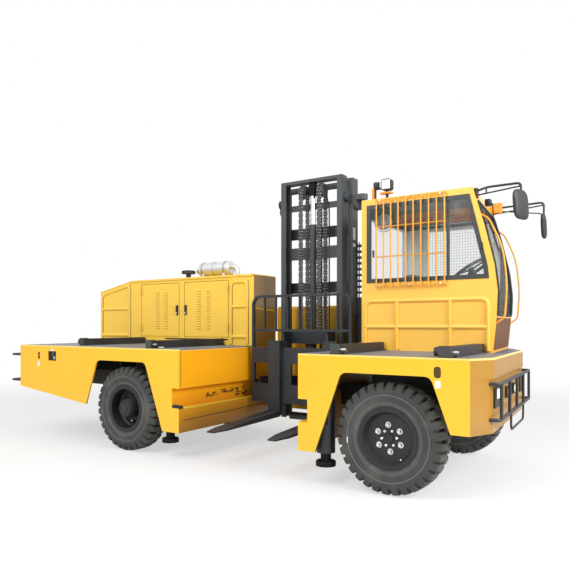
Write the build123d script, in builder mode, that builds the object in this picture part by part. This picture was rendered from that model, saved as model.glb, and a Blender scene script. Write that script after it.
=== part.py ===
from build123d import *
import os

# Side loader forklift, parked on its wheels with the mast drawn in and the forks down.
# Millimetres. +X is forward (cab end), -Y is the load side, +Z is up.
# The origin is on the ground under the middle of the overall box.

# Along the truck
REAR_OVERHANG = 1755
AXLE_TO_WELL_REAR = 738
WELL_WIDE = 1200
AXLE_TO_WELL_FRONT = 682
FRONT_OVERHANG = 737
WHEELBASE = AXLE_TO_WELL_REAR + WELL_WIDE + AXLE_TO_WELL_FRONT
HALF_L = (REAR_OVERHANG + WHEELBASE + FRONT_OVERHANG) / 2
REAR_AXLE_X = REAR_OVERHANG - HALF_L
FRONT_AXLE_X = REAR_AXLE_X + WHEELBASE
WELL_REAR_X = REAR_AXLE_X + AXLE_TO_WELL_REAR
WELL_FRONT_X = FRONT_AXLE_X - AXLE_TO_WELL_FRONT

# Across the truck
WIDTH = 1920
HALF_W = WIDTH / 2

# Wheels and axles
TYRE_R = 395
TYRE_HALF = 105
BEAD_HALF = 85
RIM_R = 190
FLANGE_R = 218
LUGS = 32
LUG_GROOVE = 15
LUG_DEEP = 24
WHEEL_IN = 155
WHEEL_Y = HALF_W - WHEEL_IN
HUB_IN = 95
HUB_R = 70
KINGPIN_IN = 165
KINGPIN_Y = WHEEL_Y - KINGPIN_IN
AXLE_R = 85
DIFF_R = 185
BEAM_HALF = 60
RUN_GAP = 0.3

# Platforms
SHEET = 14
PANEL = 16
DECK_T = 8
ARCH_CLEAR = 55
DECK_OVER_ARCH = 125
ARCH_TOP = 2 * TYRE_R + ARCH_CLEAR
DECK_Z = ARCH_TOP + DECK_OVER_ARCH
UNDER_DECK = DECK_Z - DECK_T
ARCH_HALF = 325
ARCH_SLOPE = 0.36
ARCH_FILLET = 60
SKIRT_Z = 248
RAIL_HIGH = 170
RAIL_DEEP = 80
RAIL_DOWN = 338
RAIL_TOP = DECK_Z - RAIL_DOWN
RAIL_BOTTOM = RAIL_TOP - RAIL_HIGH
REAR_END_X = REAR_AXLE_X - 1560
REAR_SKIRT_Z = 530
TAIL_Z = 400
NOSE_Z = 480
CHAMFER_X = FRONT_AXLE_X + 580
NOSE_NEAR = (FRONT_AXLE_X + 680, 200 - HALF_W)
NOSE_FAR = (FRONT_AXLE_X + 600, HALF_W - 420)
NOSE_END_X = FRONT_AXLE_X + 420
NOSE_FOLD_Z = 832
NOSE_FOLD = 10
FAR_PANEL_Y = HALF_W - PANEL

# Frame under the decks
FRAME_TOP = 700
FRAME_BOTTOM = 540
FRAME_WIDE = 80
FRAME_IN = 200
FRAME_Y = KINGPIN_Y - FRAME_IN
CROSS_T = 12

# Backbone behind the mast
BACKBONE_DEEP = 370
BACKBONE_Y = HALF_W - BACKBONE_DEEP
BACKBONE_Z = 300
WELL_BACK_GAP = 30
WELL_DEPTH_Y = BACKBONE_Y - WELL_BACK_GAP
COVER_HIGH = 410
COVER_IN = 40

# Hood over the engine
HOOD_REAR_X = REAR_END_X - 35
HOOD_FRONT_X = WELL_REAR_X - 5
HOOD_FAR_Y = HALF_W - 20
HOOD_DEEP = 782
HOOD_Y = HOOD_FAR_Y - HOOD_DEEP
HOOD_HIGH = 730
HOOD_TOP = DECK_Z + HOOD_HIGH
HOOD_SLOPE_X = HOOD_REAR_X + 562
HOOD_DROP = 118
HOOD_CORNER = (270, 382)
HOOD_SHEET = 20
HOOD_LIP = 12
RIB_W = 22
RIB_OUT = 12
DOOR_GAP = 6
DOOR_LOW = 85
DOOR_HIGH = 593
DOOR_WIDE = (586, 610)
DOOR_MID_X = HOOD_FRONT_X - 985
DOOR_SPLIT = 84
LOUVRES = 16
LOUVRE_PITCH = 27
LOUVRE_WIDE = 52
HINGE_R = 8
HINGE_LONG = 60

# Cab
CAB_REAR_X = WELL_FRONT_X + 104
CAB_FAR_Y = HALF_W - 30
CAB_WIDE = 1008
CAB_Y = CAB_FAR_Y - CAB_WIDE
CAB_HIGH = 1280
CAB_TOP = DECK_Z + CAB_HIGH
CAB_SHEET = 30
CAB_LEAN = -106
FRAME_RIM = 34
GLASS_T = 6
GUARD_BARS = 10
GUARD_PITCH = 64.1

# Mast
MAST_X = (WELL_REAR_X + WELL_FRONT_X) / 2 + 12
OUTER_HALF = 400
OUTER_DEEP = 110
OUTER_BOTTOM = 250
OUTER_HIGH = 2330
OUTER_TOP = OUTER_BOTTOM + OUTER_HIGH
REACH_BEAM = 85
REACH_Y = WELL_DEPTH_Y - 20
OUTER_Y = REACH_Y - REACH_BEAM - OUTER_DEEP
CHANNEL_T = 14
CHANNEL_W = 54
MAST_SIDE_GAP = 6
INNER_HALF = OUTER_HALF - CHANNEL_W - MAST_SIDE_GAP
INNER_DEEP = 100
INNER_Y = OUTER_Y - 105
INNER_BOTTOM = OUTER_BOTTOM + 12
INNER_TOP = OUTER_TOP + 20
LIFT_Y = INNER_Y + INNER_DEEP / 2
TOP_BAR = 30
SHEAVE_R = 59
SHEAVE_X = 101
SHEAVE_Z = INNER_TOP - 120
CHAIN_T = 12
BARREL_R = 33
ROD_R = 26
ROD_GAP = 0.05
LINK = 38

# Forks, carriage and backrest
FORK_XS = (MAST_X - 262, MAST_X + 347)
FORK_W = 130
FORK_T = 45
FORK_HEEL_Z = 362
FORK_TIP_Z = 300
FORK_TIP_T = 12
FORK_HEEL_R = 55
FORK_TOP = 1033
PLATE_T = 30
CARRIAGE_BACK_Y = INNER_Y - 175
BACK_Y = CARRIAGE_BACK_Y - PLATE_T
FORK_Y = BACK_Y - FORK_T
FORK_TIP_Y = -HALF_W
CARRIAGE_LEFT = MAST_X - 554
CARRIAGE_RIGHT = MAST_X + 539
CARRIAGE_BARS = ((430, 610), (811, 965))
BACKREST_LOW = 1143
BACKREST_HIGH = 330
BACKREST_TOP = BACKREST_LOW + BACKREST_HIGH
BACKREST_R = 95
BACKREST_BARS = 7

# Stabiliser legs
LEG_XS = (WELL_REAR_X - 208, WELL_FRONT_X + 172)
LEG_IN = 118
LEG_Y = LEG_IN - HALF_W
LEG_BARREL_R = 70
LEG_R = 39
LEG_FOOT_R = 75
FOOT_Z = 135

os.makedirs("parts", exist_ok=True)


def save(piece, label):
    """Name a finished piece and write it out."""
    piece.part.label = label
    export_step(piece.part, f"parts/{label}.step")


def block(x0, x1, y0, y1, z0, z1, mode=Mode.ADD):
    """Box between two corners, in the open part."""
    with Locations(((x0 + x1) / 2, (y0 + y1) / 2, (z0 + z1) / 2)):
        Box(abs(x1 - x0), abs(y1 - y0), abs(z1 - z0), mode=mode)


def rod(axis, radius, start, end, a, b, mode=Mode.ADD):
    """Cylinder along X, Y or Z from start to end; a and b are its other two coordinates."""
    mid = (start + end) / 2
    place = {"X": (mid, a, b), "Y": (a, mid, b), "Z": (a, b, mid)}[axis]
    turn = {"X": (0, 90, 0), "Y": (90, 0, 0), "Z": (0, 0, 0)}[axis]
    with Locations(Location(place, turn)):
        Cylinder(radius, abs(end - start), mode=mode)


def prism(plane, points, along, mode=Mode.ADD, rounds=()):
    """Straight-sided outline on a plane, pushed along a vector; rounds lists (corner, radius)."""
    with BuildSketch(plane) as outline:
        with BuildLine():
            Polyline(*points, close=True)
        make_face()
        for corner, radius in rounds:
            fillet(outline.vertices().sort_by_distance(corner)[0], radius)
    extrude(outline.sketch, amount=along.length, dir=along.normalized(), mode=mode)


def side_prism(points, y0, y1, mode=Mode.ADD, rounds=(), lean=0):
    """Outline in X and Z from y0 to y1, shifted along X by lean on the way."""
    prism(Plane.XZ.offset(-y0), points, Vector(lean, y1 - y0, 0), mode, rounds)


def end_prism(points, x0, x1, mode=Mode.ADD, rounds=()):
    """Outline in Y and Z from x0 to x1."""
    prism(Plane.YZ.offset(x0), points, Vector(x1 - x0, 0, 0), mode, rounds)


def flat_prism(points, z0, z1, mode=Mode.ADD, rounds=()):
    """Outline in X and Y from z0 to z1."""
    prism(Plane.XY.offset(z0), points, Vector(0, 0, z1 - z0), mode, rounds)


def arch_cut(axle_x, y0, y1):
    """Wheel arch with sloped sides and rounded top corners, cut from y0 to y1."""
    low = SKIRT_Z - 100
    foot = ARCH_HALF + ARCH_SLOPE * (ARCH_TOP - low)
    tops = ((axle_x - ARCH_HALF, ARCH_TOP), (axle_x + ARCH_HALF, ARCH_TOP))
    side_prism(((axle_x - foot, low), *tops, (axle_x + foot, low)), y0, y1, Mode.SUBTRACT,
               [(top, ARCH_FILLET) for top in tops])


def tube(points, radius, bend=0):
    """Round bar along a line of points, its corners bent to a radius, in the open part."""
    with BuildLine() as path:
        if bend:
            FilletPolyline(*points, radius=bend)
        else:
            Polyline(*points)
    with BuildSketch(Plane(path.line @ 0, z_dir=path.line % 0)) as section:
        Circle(radius)
    sweep(section.sketch, path=path.line)


def well_wall(x, inward):
    """Section of the well's side wall with its recessed roller rail."""
    t = inward * SHEET
    deep = inward * RAIL_DEEP
    return ((x, UNDER_DECK), (x, RAIL_TOP), (x + deep, RAIL_TOP), (x + deep, RAIL_BOTTOM),
            (x, RAIL_BOTTOM), (x, SKIRT_Z), (x + t, SKIRT_Z), (x + t, RAIL_BOTTOM - SHEET),
            (x + deep + t, RAIL_BOTTOM - SHEET), (x + deep + t, RAIL_TOP + SHEET),
            (x + t, RAIL_TOP + SHEET), (x + t, UNDER_DECK))


def foot_x(axle_x, side, z):
    """Where the arch's sloped side stands at height z."""
    return axle_x + side * (ARCH_HALF + ARCH_SLOPE * (ARCH_TOP - z))


rear_foot = (foot_x(REAR_AXLE_X, 1, SKIRT_Z), SKIRT_Z)
front_foot = (foot_x(FRONT_AXLE_X, -1, SKIRT_Z), SKIRT_Z)
rear_far_side = ((REAR_END_X, DECK_Z), (WELL_REAR_X, DECK_Z), (WELL_REAR_X, SKIRT_Z),
                 rear_foot, (REAR_AXLE_X, TAIL_Z), (REAR_AXLE_X - 400, TAIL_Z), (REAR_END_X, REAR_SKIRT_Z))
rear_side = (*rear_far_side[:2], (WELL_REAR_X, RAIL_TOP), (WELL_REAR_X - RAIL_DEEP, RAIL_TOP),
             (WELL_REAR_X - RAIL_DEEP, RAIL_BOTTOM), (WELL_REAR_X, RAIL_BOTTOM), *rear_far_side[2:])
front_far_side = ((WELL_FRONT_X, DECK_Z), (NOSE_END_X, DECK_Z), (NOSE_END_X, NOSE_Z),
                  (FRONT_AXLE_X + 380, NOSE_Z), (FRONT_AXLE_X, TAIL_Z), front_foot, (WELL_FRONT_X, SKIRT_Z))
front_side = ((WELL_FRONT_X, DECK_Z), (CHAMFER_X, DECK_Z), (CHAMFER_X, NOSE_Z), *front_far_side[3:],
              (WELL_FRONT_X, RAIL_BOTTOM), (WELL_FRONT_X + RAIL_DEEP, RAIL_BOTTOM),
              (WELL_FRONT_X + RAIL_DEEP, RAIL_TOP), (WELL_FRONT_X, RAIL_TOP))

# Rear platform: side panels with wheel arches, well wall with its rail, tail plate
with BuildPart() as rear_body:
    side_prism(rear_side, -HALF_W, PANEL - HALF_W)
    side_prism(rear_far_side, FAR_PANEL_Y, HALF_W)
    arch_cut(REAR_AXLE_X, -HALF_W - 1, HALF_W + 1)
    side_prism(well_wall(WELL_REAR_X, -1), PANEL - HALF_W, WELL_DEPTH_Y)
    block(REAR_END_X, REAR_END_X + SHEET, PANEL - HALF_W, FAR_PANEL_Y, REAR_SKIRT_Z, UNDER_DECK)
    block(WELL_REAR_X - SHEET, WELL_REAR_X, WELL_DEPTH_Y, FAR_PANEL_Y, SKIRT_Z, UNDER_DECK)
    slot_x = REAR_END_X + 324
    side_prism(((slot_x - 19, DECK_Z - 145), (slot_x + 19, DECK_Z - 145), (slot_x + 19, DECK_Z - 69),
                (slot_x - 19, DECK_Z - 69)), -HALF_W - 1, PANEL - HALF_W + 1, Mode.SUBTRACT,
               [((slot_x + a * 19, DECK_Z - b), 18) for a in (-1, 1) for b in (145, 69)])
    block(REAR_END_X + 479, REAR_END_X + 611, -HALF_W - 1, PANEL - HALF_W + 1, DECK_Z - 154, DECK_Z - 58,
          mode=Mode.SUBTRACT)
save(rear_body, "rear_body")

# Front platform, with the tapered nose folded back below the deck
face_lean = (NOSE_NEAR[0] - NOSE_FAR[0]) / (NOSE_FAR[1] - NOSE_NEAR[1])


def nose_plan(back):
    """Plan of the nose's sheet, set back from the outline."""
    return ((CHAMFER_X, -HALF_W), (NOSE_NEAR[0] - back, NOSE_NEAR[1]), (NOSE_FAR[0] - back, NOSE_FAR[1]),
            (NOSE_END_X, HALF_W), (NOSE_END_X, HALF_W - 2 * PANEL), (NOSE_FAR[0] - PANEL, NOSE_FAR[1] - 8),
            (NOSE_NEAR[0] - PANEL, NOSE_NEAR[1] + 4), (CHAMFER_X, PANEL - HALF_W))


with BuildPart() as front_body:
    side_prism(front_side, -HALF_W, PANEL - HALF_W)
    side_prism(front_far_side, FAR_PANEL_Y, HALF_W)
    arch_cut(FRONT_AXLE_X, -HALF_W - 1, HALF_W + 1)
    side_prism(well_wall(WELL_FRONT_X, 1), PANEL - HALF_W, WELL_DEPTH_Y)
    flat_prism(nose_plan(0), NOSE_FOLD_Z, DECK_Z)
    flat_prism(nose_plan(NOSE_FOLD), NOSE_Z, NOSE_FOLD_Z)
    block(WELL_FRONT_X, WELL_FRONT_X + SHEET, WELL_DEPTH_Y, FAR_PANEL_Y, SKIRT_Z, UNDER_DECK)
    slot_x = CHAMFER_X - 208
    side_prism(((slot_x - 24, DECK_Z - 132), (slot_x + 24, DECK_Z - 132), (slot_x + 24, DECK_Z - 56),
                (slot_x - 24, DECK_Z - 56)), -HALF_W - 1, PANEL - HALF_W + 1, Mode.SUBTRACT,
               [((slot_x + a * 24, DECK_Z - b), 22) for a in (-1, 1) for b in (132, 56)])
    slot_y = NOSE_FAR[1] - 215
    block(NOSE_FAR[0] - 40, NOSE_NEAR[0], slot_y - 14, slot_y + 14, DECK_Z - 108, DECK_Z - 38,
          mode=Mode.SUBTRACT)
save(front_body, "front_body")

# Backbone joining the platforms behind the mast, with the tank cover stepped in on top
with BuildPart() as backbone:
    block(WELL_REAR_X, WELL_FRONT_X, BACKBONE_Y, HALF_W, BACKBONE_Z, DECK_Z)
    block(WELL_REAR_X, WELL_FRONT_X, BACKBONE_Y, HALF_W - COVER_IN, DECK_Z, DECK_Z + COVER_HIGH)
    fillet(backbone.edges().filter_by(Axis.X).group_by(Axis.Z)[-1], 40)
    block(WELL_REAR_X + SHEET, WELL_FRONT_X - SHEET, BACKBONE_Y + SHEET, HALF_W - COVER_IN - SHEET,
          BACKBONE_Z + SHEET, DECK_Z + COVER_HIGH - 40 - SHEET, mode=Mode.SUBTRACT)
save(backbone, "backbone")

# Frame rails with their crossmembers under both decks, and the wheel boxes
WEB_T = 24
BOX_GAP = 20
with BuildPart() as chassis:
    rail_rows = (  # rail's two ends, far end of its deck webs, crossmembers
        ((REAR_END_X + SHEET, WELL_REAR_X - RAIL_DEEP - SHEET), HOOD_Y - 30,
         (REAR_END_X + 300, REAR_AXLE_X - 560, REAR_AXLE_X - 300, REAR_AXLE_X + 300)),
        ((WELL_FRONT_X + RAIL_DEEP + SHEET, FRONT_AXLE_X + 520), FRAME_Y,
         (FRONT_AXLE_X - 300, FRONT_AXLE_X, FRONT_AXLE_X + 300, FRONT_AXLE_X + 480)))
    for (x0, x1), web_end, crosses in rail_rows:
        for side in (-1, 1):
            block(x0, x1, side * FRAME_Y, side * (FRAME_Y - FRAME_WIDE), FRAME_BOTTOM, FRAME_TOP)
        for x in crosses:
            block(x - WEB_T / 2, x + WEB_T / 2, FRAME_WIDE - FRAME_Y, FRAME_Y - FRAME_WIDE, FRAME_BOTTOM, FRAME_TOP)
            block(x - WEB_T / 2, x + WEB_T / 2, -FRAME_Y, web_end, FRAME_TOP, UNDER_DECK)
    for axle_x in (REAR_AXLE_X, FRONT_AXLE_X):
        for side in (-1, 1):
            half = ARCH_HALF - 20
            wall_y = side * (FRAME_Y + BOX_GAP)
            block(axle_x - half, axle_x + half, wall_y, wall_y + side * SHEET, FRAME_BOTTOM, ARCH_TOP + 10)
            block(axle_x - half, axle_x + half, side * FRAME_Y, wall_y, FRAME_BOTTOM, FRAME_TOP)
save(chassis, "chassis")

# Chequer plates of the two decks
with BuildPart() as rear_deck:
    block(REAR_END_X + SHEET, WELL_REAR_X, PANEL - HALF_W, HOOD_Y + 40, UNDER_DECK, DECK_Z)
save(rear_deck, "rear_deck")

with BuildPart() as front_deck:
    flat_prism(((WELL_FRONT_X, PANEL - HALF_W), (CHAMFER_X - 4, PANEL - HALF_W),
                (NOSE_NEAR[0] - PANEL - 4, NOSE_NEAR[1] + 4), (NOSE_FAR[0] - PANEL - 4, NOSE_FAR[1] - 8),
                (NOSE_END_X - 20, FAR_PANEL_Y - 2), (WELL_FRONT_X, FAR_PANEL_Y - 2)), UNDER_DECK, DECK_Z)
save(front_deck, "front_deck")

# Bolster beams across the decks, each a folded channel with an end block; a roller pin stands out of two
BOLSTER_HIGH = 76
BOLSTER_FOOT = 12
END_LONG = 60
bolster_rows = (  # x0, x1, near end, far end, roller side
    (REAR_AXLE_X - 855, REAR_AXLE_X - 795, 220 - HALF_W, HOOD_Y - RIB_OUT - 8, -1),
    (WELL_REAR_X - 434, WELL_REAR_X - 377, 40 - HALF_W, HOOD_Y - RIB_OUT - 8, 0),
    (FRONT_AXLE_X - 426, FRONT_AXLE_X - 361, 35 - HALF_W, CAB_Y - RIB_OUT - 4, 0),
    (FRONT_AXLE_X + 367, FRONT_AXLE_X + 455, 35 - HALF_W, CAB_Y - RIB_OUT - 4, -1))
with BuildPart() as bolsters:
    for x0, x1, y0, y1, roller in bolster_rows:
        top = DECK_Z + BOLSTER_HIGH
        block(x0, x1, y0, y0 + END_LONG, DECK_Z, top)
        block(x0 + 6, x1 - 6, y0 + END_LONG, y1, DECK_Z + BOLSTER_FOOT, top - 6)
        block(x0 - 14, x1 + 14, y0 + END_LONG, y1, DECK_Z, DECK_Z + BOLSTER_FOOT)
        if roller:
            rod("X", 30, x0 - 32, x0, y0 + END_LONG / 2, DECK_Z + 38)
            rod("X", 12, x0 - 40, x0 - 32, y0 + END_LONG / 2, DECK_Z + 38)
save(bolsters, "bolsters")

# Tube guard across the nose, wrapped round both corners, with a step hanging under it
GUARD_R = 20
BAR_R = 15
STEP_R = 12
GUARD_ZS = (570, 803)
STEP_Z = 447
GUARD_ENDS = 60
guard_x = HALF_L - GUARD_R
guard_near_y = NOSE_NEAR[1] + 10
guard_far_y = NOSE_FAR[1] + GUARD_ENDS
guard_far_x = guard_x - face_lean * (guard_far_y - guard_near_y)


def guard_line(y):
    """Centre line of the guard's front run."""
    return guard_x - face_lean * (y - guard_near_y)


with BuildPart() as front_guard:
    for z in GUARD_ZS:
        tube(((NOSE_NEAR[0] - 24, NOSE_NEAR[1] - 26, z), (guard_x - 3, guard_near_y - 20, z),
              (guard_far_x, guard_far_y, z), (guard_far_x - 62, guard_far_y - 8, z)), GUARD_R, 22)
    for step in range(5):
        y = guard_near_y + 8 + step * (guard_far_y - guard_near_y - 30) / 4
        rod("Z", BAR_R, GUARD_ZS[0], GUARD_ZS[1], guard_line(y), y)
    step_ys = (NOSE_NEAR[1] + 406, NOSE_NEAR[1] + 1006)
    step_line = [(guard_line(step_ys[0]), step_ys[0], GUARD_ZS[0]), (guard_line(step_ys[0]), step_ys[0], STEP_Z),
                 (guard_line(step_ys[1]), step_ys[1], STEP_Z), (guard_line(step_ys[1]), step_ys[1], GUARD_ZS[0])]
    tube(step_line, STEP_R, 50)
    flat_prism(nose_plan(NOSE_FOLD)[:4], NOSE_Z, NOSE_FOLD_Z, Mode.SUBTRACT)
save(front_guard, "front_guard")

# Lamps let into the nose behind the guard
LAMP_OUT = 14
with BuildPart() as nose_lamps:
    for y, half, low, high in ((NOSE_NEAR[1] + 90, 62, 640, 776), (NOSE_NEAR[1] + 500, 34, 662, 745),
                               (NOSE_NEAR[1] + 800, 34, 662, 745), (NOSE_FAR[1] - 90, 62, 640, 776)):
        x = NOSE_NEAR[0] - NOSE_FOLD - face_lean * (y - NOSE_NEAR[1])
        block(x - 8, x + LAMP_OUT, y - half, y + half, low, high)
    flat_prism(nose_plan(NOSE_FOLD)[:4], NOSE_Z, NOSE_FOLD_Z, Mode.SUBTRACT)
save(nose_lamps, "nose_lamps")

# Tube guard across the tail
REAR_GUARD_R = 22
with BuildPart() as rear_guard:
    end_x = REAR_GUARD_R - HALF_L
    reach = HALF_W - 40
    for z in (574, 857):
        tube(((REAR_END_X, -reach, z), (end_x, -reach, z), (end_x, reach, z), (REAR_END_X, reach, z)),
             REAR_GUARD_R, 60)
    for y in (-600, 0, 600):
        rod("Z", 18, 574, 857, end_x, y)
save(rear_guard, "rear_guard")

# Hood over the engine, its far front corner cut back, with two door openings towards the deck
HOOD_SLOPE_Z = HOOD_TOP - HOOD_DROP
hood_side = ((HOOD_REAR_X, DECK_Z), (HOOD_FRONT_X, DECK_Z), (HOOD_FRONT_X, HOOD_TOP),
             (HOOD_SLOPE_X, HOOD_TOP), (HOOD_REAR_X, HOOD_SLOPE_Z))
t = HOOD_SHEET
hood_inside = ((HOOD_REAR_X + t, DECK_Z - 1), (HOOD_FRONT_X - t, DECK_Z - 1), (HOOD_FRONT_X - t, HOOD_TOP - t),
               (HOOD_SLOPE_X, HOOD_TOP - t), (HOOD_REAR_X + t, HOOD_SLOPE_Z - t))
door_rows = (  # name, hinge edge, free edge, direction from hinge to free edge
    ("hood_door_rear", DOOR_MID_X - DOOR_SPLIT / 2 - DOOR_WIDE[0], DOOR_MID_X - DOOR_SPLIT / 2, 1),
    ("hood_door_front", DOOR_MID_X + DOOR_SPLIT / 2 + DOOR_WIDE[1], DOOR_MID_X + DOOR_SPLIT / 2, -1))
DOOR_BOTTOM = DECK_Z + DOOR_LOW
DOOR_TOP = DOOR_BOTTOM + DOOR_HIGH
HINGE_Y = HOOD_Y - HINGE_R - RUN_GAP
hinge_zs = (DOOR_BOTTOM + 90, DOOR_TOP - 90)
left_bay = (HOOD_REAR_X + 22, HOOD_SLOPE_X - 34)
right_bay = (HOOD_FRONT_X - 300, HOOD_FRONT_X - 68)
rib_y = (HOOD_Y - RIB_OUT, HOOD_Y)
with BuildPart() as hood:
    side_prism(hood_side, HOOD_Y, HOOD_FAR_Y)
    side_prism(hood_inside, HOOD_Y + t, HOOD_FAR_Y - t, Mode.SUBTRACT)
    corner = ((HOOD_FRONT_X + 1, HOOD_FAR_Y - HOOD_CORNER[1]), (HOOD_FRONT_X + 1, HOOD_FAR_Y + 1),
              (HOOD_FRONT_X - HOOD_CORNER[0], HOOD_FAR_Y + 1))
    flat_prism(corner, DECK_Z - 1, HOOD_TOP + 1, Mode.SUBTRACT)
    back = ((HOOD_FRONT_X, HOOD_FAR_Y - HOOD_CORNER[1] - t), (HOOD_FRONT_X, HOOD_FAR_Y - HOOD_CORNER[1]),
            (HOOD_FRONT_X - HOOD_CORNER[0], HOOD_FAR_Y), (HOOD_FRONT_X - HOOD_CORNER[0] - t, HOOD_FAR_Y),
            (HOOD_FRONT_X - HOOD_CORNER[0] - t, HOOD_FAR_Y - t))
    flat_prism(back, DECK_Z, HOOD_TOP)
    for label, hinge_x, free_x, way in door_rows:
        block(hinge_x - way * DOOR_GAP, free_x + way * DOOR_GAP, HOOD_Y - 1, HOOD_Y + t + 1,
              DOOR_BOTTOM - DOOR_GAP, DOOR_TOP + DOOR_GAP, mode=Mode.SUBTRACT)
        for z in hinge_zs:
            pin_x = hinge_x - way * DOOR_GAP / 2
            rod("Z", HINGE_R, z + HINGE_LONG / 2 + RUN_GAP, z + HINGE_LONG, pin_x, HINGE_Y)
            block(pin_x - way * 2, pin_x - way * 24, HOOD_Y - 6, HOOD_Y, z + HINGE_LONG / 2 + RUN_GAP, z + HINGE_LONG)
    # Raised ribs of the two side bays
    for x0, x1 in (left_bay, right_bay):
        for x in (x0, x1 - RIB_W):
            block(x, x + RIB_W, *rib_y, DECK_Z + 20, HOOD_SLOPE_Z - 20)
        for z in (DECK_Z + 78, DECK_Z + 392):
            block(x0, x1, *rib_y, z, z + RIB_W)
    x0, x1 = right_bay
    for x in (x0, x1 - RIB_W):
        block(x, x + RIB_W, *rib_y, HOOD_SLOPE_Z - 20, HOOD_TOP - 60)
    block(x0, x1, *rib_y, HOOD_TOP - 60 - RIB_W, HOOD_TOP - 60)
    x0, x1 = left_bay
    rise = HOOD_DROP / (HOOD_SLOPE_X - HOOD_REAR_X)
    side_prism(((x0, HOOD_SLOPE_Z - 46), (x1, HOOD_SLOPE_Z - 46 + rise * (x1 - x0)),
                (x1, HOOD_SLOPE_Z - 24 + rise * (x1 - x0)), (x0, HOOD_SLOPE_Z - 24)), *rib_y)
    block(x1 - RIB_W, x1, *rib_y, HOOD_SLOPE_Z - 20, HOOD_SLOPE_Z - 46 + rise * (x1 - x0))
    # Lip along the top edge
    block(HOOD_SLOPE_X, HOOD_FRONT_X, HOOD_Y - HOOD_LIP, HOOD_Y, HOOD_TOP - 16, HOOD_TOP)
save(hood, "hood")

for label, hinge_x, free_x, way in door_rows:
    with BuildPart() as hood_door:
        block(hinge_x, free_x, HOOD_Y, HOOD_Y + t, DOOR_BOTTOM, DOOR_TOP)
        for z in hinge_zs:
            pin_x = hinge_x - way * DOOR_GAP / 2
            rod("Z", HINGE_R, z - HINGE_LONG / 2, z + HINGE_LONG / 2, pin_x, HINGE_Y)
            block(pin_x + way * 2, pin_x + way * 26, HOOD_Y - 6, HOOD_Y, z - HINGE_LONG / 2, z + HINGE_LONG / 2)
        for column in (0.34, 0.56):
            x = free_x + (hinge_x - free_x) * column
            for row in range(LOUVRES):
                z = DOOR_BOTTOM + 86 + row * LOUVRE_PITCH
                lip = ((HOOD_Y, z), (HOOD_Y - 7, z), (HOOD_Y, z + 15))
                end_prism(lip, x - LOUVRE_WIDE / 2, x + LOUVRE_WIDE / 2)
    save(hood_door, label)

# Engine, one plain block seated on the wheel box
ENGINE_LONG = 1000
ENGINE_WIDE = 330
ENGINE_HIGH = 545
with BuildPart() as engine_block:
    engine_x = REAR_AXLE_X + 145
    engine_y = HOOD_Y + 150
    block(engine_x - ENGINE_LONG, engine_x, engine_y, engine_y + ENGINE_WIDE, ARCH_TOP + 10, ARCH_TOP + 10 + ENGINE_HIGH)
save(engine_block, "engine_block")

# Muffler on two saddles, with its bent tail pipe, and the air intake cap beside it
MUFFLER_R = 78
MUFFLER_LONG = 443
MUFFLER_Z = HOOD_TOP + 108
MUFFLER_Y = HOOD_Y + 262
muffler_x = HOOD_FRONT_X - 925
with BuildPart() as muffler:
    rod("X", MUFFLER_R, muffler_x, muffler_x + MUFFLER_LONG, MUFFLER_Y, MUFFLER_Z)
    fillet(muffler.edges().filter_by(GeomType.CIRCLE), 22)
    rod("X", 34, muffler_x - 45, muffler_x + 10, MUFFLER_Y, MUFFLER_Z - 10)
    for x in (muffler_x + 60, muffler_x + MUFFLER_LONG - 90):
        block(x, x + 34, MUFFLER_Y - 60, MUFFLER_Y + 60, HOOD_TOP, MUFFLER_Z - 40)
    start_x = muffler_x + MUFFLER_LONG - 20
    tube(((start_x, MUFFLER_Y, MUFFLER_Z + 14), (start_x + 100, MUFFLER_Y, MUFFLER_Z + 14),
          (start_x + 100, MUFFLER_Y, HOOD_TOP)), 24, 60)
save(muffler, "muffler")

CAP_OFF = 140
with BuildPart() as intake_cap:
    rod("Z", 28, HOOD_TOP, HOOD_TOP + 70, muffler_x - CAP_OFF, MUFFLER_Y - 60)
    rod("Z", 79, HOOD_TOP + 66, HOOD_TOP + 103, muffler_x - CAP_OFF, MUFFLER_Y - 60)
    fillet(intake_cap.edges().filter_by(GeomType.CIRCLE).group_by(Axis.Z)[-1], 16)
save(intake_cap, "intake_cap")

# Cab: a hollow shell that leans back towards its far side, with windows, windshield and far door cut
cab_front = ((FRONT_AXLE_X + 506, DECK_Z), (FRONT_AXLE_X + 533, DECK_Z + 280), (FRONT_AXLE_X + 540, DECK_Z + 473),
             (FRONT_AXLE_X + 516, DECK_Z + 676), (FRONT_AXLE_X + 442, DECK_Z + 987),
             (FRONT_AXLE_X + 355, CAB_TOP))
s = CAB_SHEET
SHIN_Z = DECK_Z + 292
BROW_Z = CAB_TOP - 100
SILL_Z = DECK_Z + 559


def front_x(z, y):
    """Where the curved front of the cab stands at height z and depth y."""
    (x0, z0), (x1, z1) = next(pair for pair in zip(cab_front, cab_front[1:]) if z <= pair[1][1])
    return x0 + (x1 - x0) * (z - z0) / (z1 - z0) + CAB_LEAN * (y - CAB_Y) / CAB_WIDE


def front_band(z0, z1, y, out, deep):
    """Outline in X and Z that follows the cab's front from z0 to z1, out ahead of it and deep thick."""
    heights = [z0] + [z for x, z in cab_front if z0 < z < z1] + [z1]
    outside = [(front_x(z, y) + out, z) for z in heights]
    return (*outside, *((x - deep, z) for x, z in reversed(outside)))


def leaning_room(front, wall, y0, y1, mode=Mode.ADD):
    """Room with an upright rear wall and a front that leans back on the way from y0 to y1."""
    lean = CAB_LEAN * (y1 - y0) / CAB_WIDE
    rear = CAB_REAR_X + wall
    low, high = front[0][1], front[-1][1]
    side_prism(((rear - lean, low), *front, (rear - lean, high)), y0, y1, mode, lean=lean)
    block(rear, rear - lean + 1, y0, y1, low, high, mode)


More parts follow.
